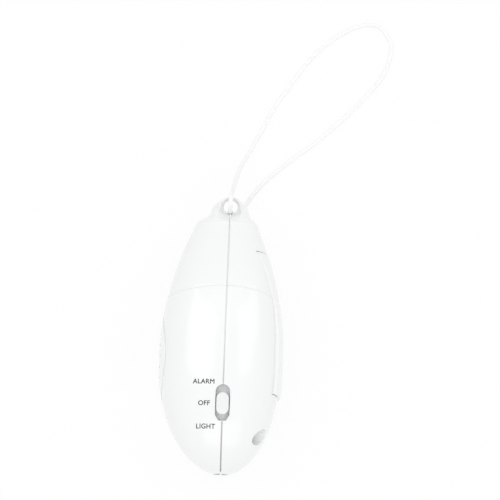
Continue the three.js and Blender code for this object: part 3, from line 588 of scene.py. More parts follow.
@dataclass(frozen=True)
class Outline:
    """The body's outer form, from the torch tip to the top of the cord eye."""

    cap: float = 38.0
    waist_end: float = 48.0
    flank: float = 46.0
    step_station: float = 67.35
    step_ramp: float = 0.7
    step_height: float = 0.3
    groove: float = 0.16
    groove_place: float = 0.7
    groove_width: float = 0.3
    step_bow: float = 3.4
    step_fade: float = 12.0
    squareness: float = 2.4
    wall: float = 1.8
    neck_stations: tuple[float, ...] = (94.0, 95.0, 95.8, 96.5, 97.3, 98.4, 99.8, 101.4, 102.8, 104.0, 105.0, 105.6,
                                        105.88)
    front: Side = Side(24.1, 13.2, 1.9, (12.9, 12.38, 11.55, 10.2, 8.9, 8.1, 7.5, 6.8, 5.8, 4.5, 2.9, 1.5, 0.3))
    rear: Side = Side(20.6, 11.0, 2.05, (10.7, 10.24, 9.55, 8.6, 7.9, 7.4, 7.0, 6.4, 5.45, 4.2, 2.8, 1.45, 0.3))
    edge: Side = Side(20.5, 9.5, 2.0, (9.2, 8.7, 8.25, 7.8, 7.3, 6.8, 6.1, 5.1, 4.2, 3.3, 2.5, 1.9, 0.9))

    def half_at(self, station: float, side: Side, inset: float = 0.0) -> float:
        """Gives the half size at a station.

        Args:
            station: Distance from the tip.
            side: Side of the body.
            inset: How far inside the surface.

        Returns:
            Half size towards that side.
        """
        shoulder_station = self.waist_end + self.flank
        if station < self.cap:
            along = min(1.0, (self.cap - station) / (self.cap - inset))
            return (side.depth - inset) * (1 - along ** side.fullness) ** (1 / side.fullness)
        if station > shoulder_station:
            return max(LEAST, spline(self.neck_stations, side.neck, station) - inset)
        run = max(0.0, station - self.waist_end)
        drop = side.depth - side.shoulder
        radius = (self.flank ** 2 + drop ** 2) / (2 * drop) - inset  # of the arc from waist to shoulder
        return side.depth - inset - (radius - math.sqrt(radius ** 2 - run ** 2))

    def sink(self, station: float) -> float:
        """Gives how far the step and the groove at its foot lower the surface.

        Args:
            station: Distance from the tip.

        Returns:
            The depth.
        """
        share = min(1.0, max(0.0, (station - self.step_station) / self.step_ramp))
        away = station - self.step_station - self.step_ramp * self.groove_place
        groove = self.groove * math.exp(-((away / self.groove_width) ** 2))
        return self.step_height * share * share * (3 - 2 * share) + groove

    def bowed(self, station: float, share: float) -> float:
        """Gives where a ring's point lies, so that the step runs lower towards the sides."""
        near = max(0.0, 1 - abs(station - self.step_station) / self.step_fade)
        return station - self.step_bow * share * share * near * near * (3 - 2 * near)

    def height_at(self, x: float, station: float, inset: float = 0.0) -> float:
        """Gives the surface's height above the seam plane's axis.

        Args:
            x: Distance from the seam plane.
            station: Distance from the tip.
            inset: How far inside the surface.

        Returns:
            Height in the body's own frame.
        """
        across = self.half_at(station, self.front if x < 0 else self.rear, inset)
        share = min(0.999, abs(x) / across)
        return self.half_at(station, self.edge, inset) * (1 - share ** self.squareness) ** (1 / self.squareness)

    def stations(self, start: float, end: float, inset: float, fine: int) -> list[float]:
        """Gives the places of the rings between two stations.

        Args:
            start: First station.
            end: Last station.
            inset: How far inside the surface.
            fine: Number of rings along the cap.

        Returns:
            Rising stations.
        """
        places = [start, end]
        places += [self.cap - (self.cap - inset) * math.cos(i / fine * math.pi / 2) for i in range(fine + 1)]
        places += [self.cap + (self.waist_end - self.cap) * i / 6 for i in range(6)]
        places += [self.waist_end + self.flank * i / fine for i in range(fine + 1)]
        places += [self.step_station + self.step_ramp * i / 8 for i in range(-3, 13)]
        low, high = self.neck_stations[0], self.neck_stations[-1]
        places += [low + (high - low) * math.sin(i / (2 * fine) * math.pi / 2) for i in range(2 * fine + 1)]
        kept: list[float] = []
        for place in sorted(places):
            if start <= place <= end and (not kept or place - kept[-1] > LEAST):
                kept.append(place)
        return kept

    def form(self, start: float, end: float, inset: "float | Callable[[float], float]" = 0.0, steps: int = 128,
             fine: int = 36) -> bmesh.types.BMesh:
        """Makes a closed form of the body between two stations.

        Args:
            start: First station.
            end: Last station.
            inset: How far inside the surface, or a rule that gives it by station.
            steps: Faces round the form.
            fine: Rings along the cap.

        Returns:
            A closed mesh in millimetres, in the frame of the part.
        """
        depth = inset if callable(inset) else (lambda station: inset)
        rings = self.stations(start, end, max(0.0, depth(start)), fine)
        profile = [(0.0, rings[0]), *[(1.0, ring) for ring in rings], (0.0, rings[-1])]
        work = turned(profile, "Y", (0, 0, 0), steps)
        power = 2 / self.squareness
        for vert in work.verts:
            x, station, z = vert.co
            if math.hypot(x, z) < 0.5:  # the middle of an end
                continue
            inside, place = depth(station), self.bowed(station, abs(x) ** power)
            lost = self.sink(station) if station < self.neck_stations[0] else 0.0
            across = abs(x) ** power * (self.half_at(place, self.front if x < 0 else self.rear, inside) - lost)
            up = abs(z) ** power * (self.half_at(place, self.edge, inside) - lost)
            vert.co = (math.copysign(across, x), place, math.copysign(up, z))
        bmesh.ops.translate(work, vec=ORIGIN_SHIFT, verts=work.verts)
        bmesh.ops.recalc_face_normals(work, faces=work.faces)
        return work


def cubic(t: float, start: "float | Vector", end: "float | Vector", leave: "float | Vector",
          arrive: "float | Vector") -> "float | Vector":
    """Blends from one value to another with given slopes at both ends."""
    return ((2 * t ** 3 - 3 * t ** 2 + 1) * start + (t ** 3 - 2 * t ** 2 + t) * leave
            + (3 * t ** 2 - 2 * t ** 3) * end + (t ** 3 - t ** 2) * arrive)


def spline(places: Sequence[float], values: Sequence[float], place: float) -> float:
    """Gives a smooth value between values.

    Args:
        places: Rising places.
        values: Value at each place.
        place: Where the value is wanted.

    Returns:
        The value there.
    """
    index = max(0, min(len(places) - 2, sum(1 for known in places if known <= place) - 1))

    def slope(i: int) -> float:
        """Gives the slope at a known place."""
        low, high = max(0, i - 1), min(len(places) - 1, i + 1)
        return (values[high] - values[low]) / (places[high] - places[low])

    span = places[index + 1] - places[index]
    t = min(1.0, max(0.0, (place - places[index]) / span))
    return cubic(t, values[index], values[index + 1], span * slope(index), span * slope(index + 1))


def in_part(x: float, station: float, height: float) -> Point:
    """Moves a point from the body's own frame to the frame of the part."""
    return tuple(Vector((x, station, height)) + ORIGIN_SHIFT)


# Case

@dataclass
class Case:
    """Front and rear shell with the cord eye, the screw recesses and the openings."""

    outline: Outline
    seam: float = 0.2
    lip: float = 0.3
    lip_steps: tuple[float, ...] = (0.0, 0.02, 0.06, 0.12, 0.2, 0.3)
    lip_turn: float = 0.35
    eye_station: float = 102.0
    eye_hole: float = 2.6
    eye_flare: float = 3.9
    eye_reach: float = 7.0
    eye_curve: float = 1.5
    eye_past: float = 1.3
    eye_rings: int = 12
    scoop: Point = (16.0, 6.8, 7.4)
    scoop_station: float = 104.6
    web_half: float = 2.0
    lamp_bore: float = 2.8
    lamp_depth: float = 8.2
    recess_station: float = 13.6
    recess_offset: float = 9.0
    recess_radius: float = 3.0
    recess_seat: float = 5.0
    boss_radius: float = 4.1
    boss_start: float = 0.3
    bay_box: tuple[Point, Point] = ((1.3, 27.9, -12.3), (40.0, 84.3, 12.3))
    filling_skin: float = 0.9
    tongue_reach: float = 1.0
    tongue_overlap: float = 0.6
    tongue_play: float = 0.15
    tongue_end: float = 92.0
    tongue_depths: tuple[float, float] = (1.5, 1.05)
    lamp_start: float = -5.0
    tip_clear: float = 0.7
    nudge: tuple[float, float] = (0.013, 0.017)
    round_steps: int = 144
    cap_rings: int = 44
    crease: float = 38.0
    hollow_end: float = 91.0

    def round_lip(self, work: bmesh.types.BMesh, side: int) -> None:
        """Rounds the rim along the seam: cuts rows of points beside it and sinks them.

        Args:
            work: Outer form in the frame of the part.
            side: -1 for the front shell, 1 for the rear one.
        """
        middle = ORIGIN_SHIFT.x
        for reach in self.lip_steps:
            split(work, (middle + side * (self.seam + reach), 0, 0), (1, 0, 0))
        for vert in work.verts:
            reach = (vert.co.x - middle) * side - self.seam
            if reach < self.lip:
                sink = self.lip - math.sqrt(max(0.0, self.lip ** 2 - (self.lip - max(0.0, reach)) ** 2))
                radial = Vector((0, vert.co.y - self.outline_middle(vert.co.y), vert.co.z - ORIGIN_SHIFT.z))
                if radial.length > 0.01:
                    vert.co -= radial.normalized() * sink

    def outline_middle(self, y: float) -> float:
        """Gives the station towards which a point sinks: its own, but further in at the two ends."""
        low, high = self.outline.cap * self.lip_turn, self.outline.waist_end + self.outline.flank
        return min(max(y - ORIGIN_SHIFT.y, low), high) + ORIGIN_SHIFT.y

    def half_space(self, side: int) -> bpy.types.Object:
        """Makes the block that is cut away on the other side of the seam.

        Args:
            side: -1 for the front shell, 1 for the rear one.

        Returns:
            The block.
        """
        middle = ORIGIN_SHIFT.x
        low, high = sorted((middle + side * self.seam, middle - side * FAR))
        return to_object("half_space", block((low, -2 * FAR, -FAR), (high, 2 * FAR, FAR)))

    def hollow(self) -> bpy.types.Object:
        """Makes the form of the space inside."""
        wall = self.outline.wall
        return to_object("hollow", self.outline.form(wall + LEAST, self.hollow_end, wall, 48, 12))

    def eye_tool(self) -> bpy.types.Object:
        """Makes the tool for the hole of the cord eye, flared at both faces.

        Returns:
            The tool.
        """
        shares = (i / self.eye_rings * self.eye_past for i in range(-self.eye_rings, self.eye_rings + 1))
        walls = [(self.eye_hole + self.eye_flare * abs(share) ** self.eye_curve, share * self.eye_reach)
                 for share in shares]
        profile = [(0.0, walls[0][1]), *walls, (0.0, walls[-1][1])]
        return to_object("eye_tool", turned(profile, "Z", in_part(0, self.eye_station, 0), 64))

    def scoop_tools(self) -> list[bpy.types.Object]:
        """Makes the tools of the hollows that leave a thin web round the hole.

        Returns:
            Two tools.
        """
        tools = []
        for side in (1, -1):
            work = bmesh.new()
            bmesh.ops.create_uvsphere(work, u_segments=96, v_segments=48, radius=1.0)
            bmesh.ops.scale(work, vec=self.scoop, verts=work.verts)
            middle = in_part(0, self.scoop_station, side * (self.web_half + self.scoop[2]))
            bmesh.ops.translate(work, vec=middle, verts=work.verts)
            tools.append(to_object("scoop", work))
        return tools

    def bore(self, radius: float, start: float, end: float, axis: str, place: Point) -> bpy.types.Object:
        """Makes a round tool."""
        return to_object("bore", turned([(0, start), (radius, start), (radius, end), (0, end)], axis, place, 48))

    def build(self, side: int, tools: Sequence[bpy.types.Object]) -> bpy.types.Object:
        """Builds one shell.

        Args:
            side: -1 for the front shell, 1 for the rear one.
            tools: Openings that belong to this shell alone.

        Returns:
            The shell.
        """
        name = "front_shell_moulding" if side < 0 else "rear_shell_moulding"
        work = self.outline.form(LEAST, self.outline.neck_stations[-1], 0.0, self.round_steps, self.cap_rings)
        self.round_lip(work, side)
        bmesh.ops.recalc_face_normals(work, faces=work.faces)
        shell = to_object(name, work)
        carve(shell, [self.half_space(side), self.hollow()])
        if side < 0:
            carve(shell, [self.tongue(0.0, -self.tongue_overlap, self.tongue_reach, self.hollow())], "UNION")
        else:
            reach = self.tongue_reach + self.tongue_play
            carve(shell, [self.tongue(-self.tongue_play, -self.tongue_reach, reach)])
            carve(shell, self.fillings(), "UNION")
        lamp = self.bore(self.lamp_bore, self.lamp_start, self.lamp_depth, "Y", in_part(0, 0, 0))
        carve(shell, [self.eye_tool(), *self.scoop_tools(), lamp, *tools])
        return shell

    def tongue(self, trim: float, low: float, high: float,
               inner: "bpy.types.Object | None" = None) -> bpy.types.Object:
        """Makes the strip behind the seam, or the tool of the rebate that takes it.

        Args:
            trim: How much deeper it begins than the strip's own depth.
            low: Its start across the seam.
            high: Its end across the seam.
            inner: Form that is taken away from it.

        Returns:
            The strip.
        """
        def depth(station: float) -> float:
            """Gives how deep the strip lies: deeper towards the tip, where the seam looks darker."""
            at_tip, less = self.tongue_depths
            return trim + at_tip - min(1.0, station / self.outline.waist_end) * less

        work = self.outline.form(depth(0.0) + LEAST, self.tongue_end, depth, self.round_steps, 36)
        strip = to_object("tongue", work)
        slab = to_object("slab", block(in_part(low, self.lamp_start, -FAR), in_part(high, 2 * FAR, FAR)))
        carve(strip, [slab], "INTERSECT")
        off_axis = in_part(self.nudge[0], 0, self.nudge[1])  # so that no corner of the strip lies on its axis
        tip = self.bore(self.lamp_bore + self.tip_clear, self.lamp_start, self.lamp_depth, "Y", off_axis)
        carve(strip, [tip, *([inner] if inner else [])])
        return strip

    def fillings(self) -> list[bpy.types.Object]:
        """Makes the bosses round the screw recesses and the box of the battery bay.

        Returns:
            Three solids that lie inside the wall.
        """
        fillings = [self.bore(self.boss_radius, self.boss_start, FAR, "X", place) for place in self.recess_places()]
        low, high = self.bay_box
        fillings.append(to_object("bay_box", block(in_part(*low), in_part(*high))))
        for filling in fillings:
            skin = to_object("skin", self.outline.form(1.0, self.hollow_end, self.filling_skin, 96, 24))
            carve(filling, [skin], "INTERSECT")
        return fillings

    def recess_places(self) -> list[Point]:
        """Gives the places of the two screws."""
        return [in_part(0, self.recess_station, height) for height in (self.recess_offset, -self.recess_offset)]

    def recess_tools(self) -> list[bpy.types.Object]:
        """Makes the tools of the two screw recesses."""
        return [self.bore(self.recess_radius, self.recess_seat, FAR, "X", place) for place in self.recess_places()]


@dataclass
class BatteryCover:
    """The long raised cover on the rear shell, with its thumb grip."""

    outline: Outline
    start: float = 29.3
    end: float = 82.3
    half: float = 11.2
    thickness: float = 1.6
    lift: float = 1.2
    top_lift: float = 0.3
    gap: float = 0.18
    end_gap: float = 0.34
    hinge_share: float = 0.6
    deep: float = 0.5
    spare: float = 6.0
    bay: tuple[Point, Point] = ((2.5, 31.4, -10.9), (60.0, 80.8, 10.9))
    grip_station: float = 52.6
    grip_lead: float = 0.6
    grip_rows: int = 4
    grip_pitch: float = 1.35
    grip_taper: float = 0.09
    grip_half: float = 6.4
    grip_radius: float = 0.34
    grip_depth: float = 1.0
    edge: float = 0.55
    crease: float = 25.0

    def rise(self, station: float) -> float:
        """Gives how far the cover's face is below the body's surface, so its lift is negative."""
        share = min(1.0, max(0.0, (station - self.outline.waist_end) / (self.end - self.outline.waist_end)))
        return -(self.lift + (self.top_lift - self.lift) * share)

    def window(self, ends: float, sides: float) -> bpy.types.Object:
        """Makes the block that the cover or its seat lies in."""
        low = in_part(self.deep, self.start - self.hinge_share * ends, -self.half - sides)
        return to_object("window", block(low, in_part(FAR, self.end + ends, self.half + sides)))

    def seat_tool(self) -> bpy.types.Object:
        """Makes the tool that opens the rear shell for the cover.

        Returns:
            The tool.
        """
        tool = self.window(self.end_gap, self.gap)
        work = self.outline.form(self.start - self.spare, self.end + self.spare, self.outline.wall + self.gap, 96, 16)
        carve(tool, [to_object("seat_floor", work)])
        return tool

    def bay_tool(self) -> bpy.types.Object:
        """Makes the tool that opens the battery bay."""
        low, high = self.bay
        return to_object("bay", block(in_part(*low), in_part(*high)))

    def grip_tools(self) -> list[bpy.types.Object]:
        """Makes the tools of the thumb grip: hollows with ribs left standing between them.

        Returns:
            One tool for each hollow.
        """
        face = self.outline.half_at(self.grip_station, self.outline.rear) + self.lift
        tools = []
        for row in range(self.grip_rows):
            station = self.grip_station + row * self.grip_pitch
            half = self.grip_half * (1 - self.grip_taper * row)
            work = bmesh.new()
            bmesh.ops.create_cone(work, cap_ends=True, segments=24, radius1=self.grip_radius,
                                  radius2=self.grip_radius, depth=2 * half)
            bmesh.ops.scale(work, vec=(self.grip_depth / self.grip_radius, 1.0, 1.0), verts=work.verts)
            bmesh.ops.translate(work, vec=in_part(face, station - self.grip_lead, 0), verts=work.verts)
            tools.append(to_object("grip", work))
        return tools

    def build(self) -> bpy.types.Object:
        """Builds the cover.

        Returns:
            The cover.
        """
        low, high = self.start - self.spare, self.end + self.spare
        cover = to_object("battery_cover_moulding", self.outline.form(low, high, self.rise, 160, 44))
        inner = to_object("cover_inside", self.outline.form(low - 1, high + 1, self.thickness, 96, 24))
        carve(cover, [inner])
        carve(cover, [self.window(0.0, 0.0)], "INTERSECT")
        carve(cover, self.grip_tools())
        return cover


@dataclass
class SirenGrille:
    """The oval panel of slots on the front shell."""

    outline: Outline
    station: float = 42.5
    half_length: float = 16.0
    half_height: float = 10.8
    ledge: float = 1.5
    thickness: float = 1.1
    proud: float = 0.4
    gap: float = 0.3
    slots: int = 5
    slot_width: float = 1.6
    slot_pitch: float = 4.0
    slot_share: float = 0.62
    chamber: float = 13.4
    chamber_skin: float = 2.2
    chamber_end: float = -15.0
    oval_end: float = -14.2
    reach: float = 22.0
    edge: float = 0.15
    crease: float = 25.0

    def oval_tool(self, trim: float, end: float) -> bpy.types.Object:
        """Makes an oval tool along X through the panel's centre.

        Args:
            trim: How much larger it is all round.
            end: Where it ends along X.

        Returns:
            The tool.
        """
        work = turned([(0, -FAR), (1.0, -FAR), (1.0, end), (0, end)], "X", (0, 0, 0), 96)
        bmesh.ops.scale(work, vec=(1.0, self.half_length + trim, self.half_height + trim), verts=work.verts)
        bmesh.ops.translate(work, vec=in_part(0, self.station, 0), verts=work.verts)
        return to_object("oval", work)

    def seat_tools(self) -> list[bpy.types.Object]:
        """Makes the tools that open the front shell.

        Returns:
            The tools of the panel's seat, its mouth and the sound chamber.
        """
        seat = self.oval_tool(self.gap, self.oval_end)
        carve(seat, [self.around("seat_floor", self.thickness - self.proud + self.gap, 128, 20)])
        profile = [(0, -FAR), (self.chamber, -FAR), (self.chamber, self.chamber_end), (0, self.chamber_end)]
        chamber = to_object("chamber", turned(profile, "X", in_part(0, self.station, 0), 64))
        carve(chamber, [self.around("skin", self.chamber_skin, 96, 16)], "INTERSECT")
        return [seat, self.oval_tool(-self.ledge, self.oval_end), chamber]

    def around(self, name: str, inset: "float | Callable[[float], float]", steps: int, fine: int,
               trim: float = 0.0) -> bpy.types.Object:
        """Makes the part of the body's form that lies round the panel."""
        low, high = self.station - self.reach + trim, self.station + self.reach - trim
        return to_object(name, self.outline.form(low, high, inset, steps, fine))

    def rise(self, station: float) -> float:
        """Gives how far the domed face is below the body's surface, so it is flush at the two ends."""
        share = min(1.0, abs(station - self.station) / self.half_length)
        return -self.proud * math.sqrt(1 - share ** 2)

    def slot_tool(self, index: int) -> bpy.types.Object:
        """Makes the tool of one slot, with round ends.

        Args:
            index: Which slot, from 0.

        Returns:
            The tool.
        """
        offset = (index - (self.slots - 1) / 2) * self.slot_pitch
        half = self.half_height * self.slot_share * math.sqrt(1 - (offset / self.half_length) ** 2)
        work = stadium(self.slot_width / 2, half - self.slot_width / 2, -FAR, 0.0)
        turn = Matrix(((0, 0, 1), (1, 0, 0), (0, 1, 0)))
        bmesh.ops.rotate(work, cent=(0, 0, 0), matrix=turn, verts=work.verts)
        bmesh.ops.translate(work, vec=in_part(0, self.station + offset, 0), verts=work.verts)
        return to_object("slot", work)

    def build(self) -> bpy.types.Object:
        """Builds the panel.

        Returns:
            The panel.
        """
        panel = self.around("siren_grille_moulding", self.rise, 192, 60, 2.0)
        carve(panel, [self.around("grille_inside", self.thickness - self.proud, 128, 24, 1.0)])
        carve(panel, [self.oval_tool(0.0, self.oval_end + 1)], "INTERSECT")
        carve(panel, [self.slot_tool(index) for index in range(self.slots)])
        return panel


# Switch, labels, screws, lamp

@dataclass
class SlideSwitch:
    """The three-place slide switch and the words beside it."""

    outline: Outline
    station: float = 24.7
    slot_radius: float = 2.64
    slot_half: float = 6.3
    slot_chamfer: float = 1.3
    slot_slant: float = 1.6
    slot_top: float = 6.0
    slot_play: float = 0.15
    steps: int = 48
    foot_reach: float = 0.5
    knob_radius: float = 2.26
    knob_half: float = 1.74
    knob_shift: float = -0.5
    knob_proud: float = 0.9
    knob_round: float = 0.55
    knob_foot: float = 0.1
    top_rings: int = 6
    ring_pitch: float = 0.26
    dish: float = 0.4
    dish_half: float = 8.0
    crease: float = 40.0
    flange: Point = (7.6, 15.0, 0.8)
    flange_depth: float = 2.86
    labels: tuple[tuple[str, float, float], ...] = (("ALARM", -7.0, 31.8), ("OFF", -6.7, 24.1), ("LIGHT", -5.9, 16.0))
    cap_height: float = 1.66
    cap_share: float = 0.7
    spacing: float = 1.06
    weight: float = 0.035
    cut_pitch: float = 0.4
    cuts: tuple[int, int] = (12, 2)
    ink: float = 0.03
    ink_rise: float = 0.7

    def place(self) -> Matrix:
        """Gives the switch's own frame.

        Returns:
            Its matrix: Y along the surface and Z out of it.
        """
        low, top, high = (self.outline.half_at(self.station + k, self.outline.edge) for k in (-1, 0, 1))
        slope = math.atan((high - low) / 2)
        return Matrix.Translation(in_part(0, self.station, top)) @ Matrix.Rotation(slope, 4, "X")

    def slot_tool(self) -> bpy.types.Object:
        """Makes the tool of the slot: round at its upper end, chamfered at its lower one.

        Returns:
            The tool.
        """
        low, corner = -self.flange_depth + self.slot_play, self.slot_radius - self.slot_chamfer
        work = stadium(self.slot_radius, self.slot_half - self.slot_radius, low, self.slot_top, self.steps)
        for vert in work.verts:
            if vert.co.y < 0:
                slanted = max(0.0, abs(vert.co.x) - corner) * self.slot_slant
                vert.co.y = -self.slot_half - self.foot_reach + slanted
        bmesh.ops.transform(work, matrix=self.place(), verts=work.verts)
        bmesh.ops.recalc_face_normals(work, faces=work.faces)
        return to_object("slot", work)

    def knob(self) -> bpy.types.Object:
        """Builds the knob: rounded rim, dished top, and the flange that slides under the shells.

        Returns:
            The knob.
        """
        low = -self.flange_depth - self.knob_foot
        work = stadium(self.knob_radius, self.knob_half, low, self.knob_proud, self.steps)
        work.faces.ensure_lookup_table()
        top = max(work.faces, key=lambda face: face.calc_center_median().z)
        bmesh.ops.bevel(work, geom=list(top.edges), offset=self.knob_round, segments=6, profile=0.5, affect="EDGES",
                        material=-1)
        for _ in range(self.top_rings):
            top = max((face for face in work.faces if face.normal.z > 0.9), key=lambda face: face.calc_area())
            bmesh.ops.inset_individual(work, faces=[top], thickness=self.ring_pitch, depth=0.0)
        for vert in work.verts:
            if vert.co.z > self.knob_proud - 0.01:
                along = max(0.0, abs(vert.co.y) - self.knob_half)
                share = min(1.0, math.hypot(vert.co.x, along) / (self.knob_radius - self.knob_round))
                vert.co.z -= self.dish * (1 - share ** 2) * (1 - (abs(vert.co.y) / self.dish_half) ** 2)
        bmesh.ops.translate(work, vec=(0, self.knob_shift, 0), verts=work.verts)
        size = Vector(self.flange)
        flange = bmesh.ops.create_cube(work, size=1.0)["verts"]
        bmesh.ops.scale(work, vec=size, verts=flange)
        bmesh.ops.translate(work, vec=(0, 0, -self.flange_depth - size.z / 2), verts=flange)
        bmesh.ops.transform(work, matrix=self.place(), verts=work.verts)
        return to_object("switch_knob_moulding", work)

    def label(self, word: str, x: float, station: float) -> bpy.types.Object:
        """Prints one word on the shell.

        Args:
            word: What it says.
            x: Its middle, from the seam plane.
            station: Its middle, from the tip.

        Returns:
            The word, as a thin layer of ink that follows the surface.
        """
        text = bpy.data.curves.new("label", "FONT")
        text.body = word
        text.align_x = "CENTER"
        text.align_y = "CENTER"
        text.size = self.cap_height / self.cap_share
        text.space_character = self.spacing
        text.resolution_u = 6
        text.offset = self.weight
        source = bpy.data.objects.new("label", text)
        bpy.context.scene.collection.objects.link(source)
        bpy.context.view_layer.update()
        flat = bpy.data.meshes.new_from_object(source.evaluated_get(bpy.context.evaluated_depsgraph_get()))
        bpy.data.objects.remove(source)
        work = bmesh.new()
        work.from_mesh(flat)
        bmesh.ops.remove_doubles(work, verts=work.verts, dist=1e-4)
        bmesh.ops.dissolve_limit(work, angle_limit=0.01, verts=work.verts, edges=work.edges)
        for count, normal in zip(self.cuts, (Vector((1, 0, 0)), Vector((0, 1, 0)))):
            for step in range(-count, count + 1):
                split(work, normal * (step * self.cut_pitch), normal)
        for vert in work.verts:
            px, py = vert.co.x + x, vert.co.y + station
            vert.co = in_part(px, py, self.outline.height_at(px, py) + self.ink * self.ink_rise)
        thicken(work, (0, 0, -self.ink))
        return to_object(f"label_{word.lower()}", work, smooth=False)


@dataclass
class CrossScrew:
    """A pan-head screw with a cross recess, whose axis lies along X."""

    station: float
    height: float
    seat: float = 5.05
    head_radius: float = 2.3
    head_height: float = 1.5
    shank: float = 1.0
    length: float = 12.0
    cross: Point = (0.62, 0.13, 0.45)
    edge: float = 0.06

    def build(self, name: str) -> bpy.types.Object:
        """Builds the screw.

        Args:
            name: Name of the piece.

        Returns:
            The screw.
        """
        head = [(self.head_radius * math.cos(a), self.seat + self.head_height * (0.4 + 0.6 * math.sin(a)))
                for a in (i / 8 * math.pi / 2 for i in range(9))]
        start = self.seat - self.length
        profile = [(0, start), (self.shank * 0.4, start), (self.shank, start + 1), (self.shank, self.seat),
                   (self.head_radius, self.seat), *head[:-1], (0, self.seat + self.head_height)]
        screw = to_object(name, turned(profile, "X", in_part(0, self.station, self.height), 40))
        wide, narrow = (self.head_radius * share for share in self.cross[:2])
        deep = self.seat + self.head_height * self.cross[2]
        tools = [to_object("cross", block(in_part(deep, self.station - a, self.height - b),
                                          in_part(FAR, self.station + a, self.height + b)))
                 for a, b in ((wide, narrow), (narrow, wide))]
        carve(screw, tools)
        soften(screw, self.edge, 2)
        shade_by_angle(screw)
        return screw


@dataclass
class TorchLamp:
    """The round lamp in the tip, with a small bright chip seen through it."""

    radius: float = 2.5
    base: float = 8.2
    flange_radius: float = 2.9
    flange: float = 1.0
    tip: float = 1.4

    def build(self) -> bpy.types.Object:
        """Builds the lamp body.

        Returns:
            The lamp body.
        """
        dome = [(self.radius * math.sin(a), self.tip + self.radius * (1 - math.cos(a)))
                for a in (i / 12 * math.pi / 2 for i in range(13))]
        profile = [*dome, (self.radius, self.base), (self.flange_radius, self.base),
                   (self.flange_radius, self.base + self.flange), (0, self.base + self.flange)]
        lamp = to_object("lamp_led_body", turned(profile, "Y", in_part(0, 0, 0), 48))
        shade_by_angle(lamp)
        return lamp


@dataclass
class RoundCell:
    """One of the two cells: sleeve, rolled edges and a contact cap."""

    height: float
    station: float
    upright: bool
    radius: float = 5.25
    length: float = 44.5
    cap_radius: float = 1.9
    cap: float = 1.0
    cap_edge: float = 0.2
    edge: float = 0.5
    dip: float = 0.25
    foot: tuple[float, float] = (3.4, 3.6)
    shoulder: tuple[float, float] = (4.4, 4.2)
    axis_x: float = 8.05
    crease: float = 40.0

    def build(self, name: str) -> bpy.types.Object:
        """Builds the cell.

        Args:
            name: Name of the piece.

        Returns:
            The cell.
        """
        body, cap, edge = self.length - self.cap, self.cap_radius, self.edge
        rim = [(self.radius - edge + edge * math.cos(a), edge * math.sin(a))
               for a in (i / 5 * math.pi / 2 for i in range(6))]
        profile = [(0, self.dip), (self.foot[0], self.dip), (self.foot[1], 0.0),
                   *((x, edge - y) for x, y in rim[::-1]), *((x, body - edge + y) for x, y in rim),
                   (self.shoulder[0], body), (self.shoulder[1], body - self.dip),
                   (cap + edge, body - self.dip), (cap, body), (cap, self.length - self.cap_edge),
                   (cap - self.cap_edge, self.length), (0, self.length)]
        if not self.upright:
            profile = [(radius, self.length - place) for radius, place in reversed(profile)]
        cell = to_object(name, turned(profile, "Y", in_part(self.axis_x, self.station, self.height), 64))
        shade_by_angle(cell, self.crease)
        return cell


# Cord

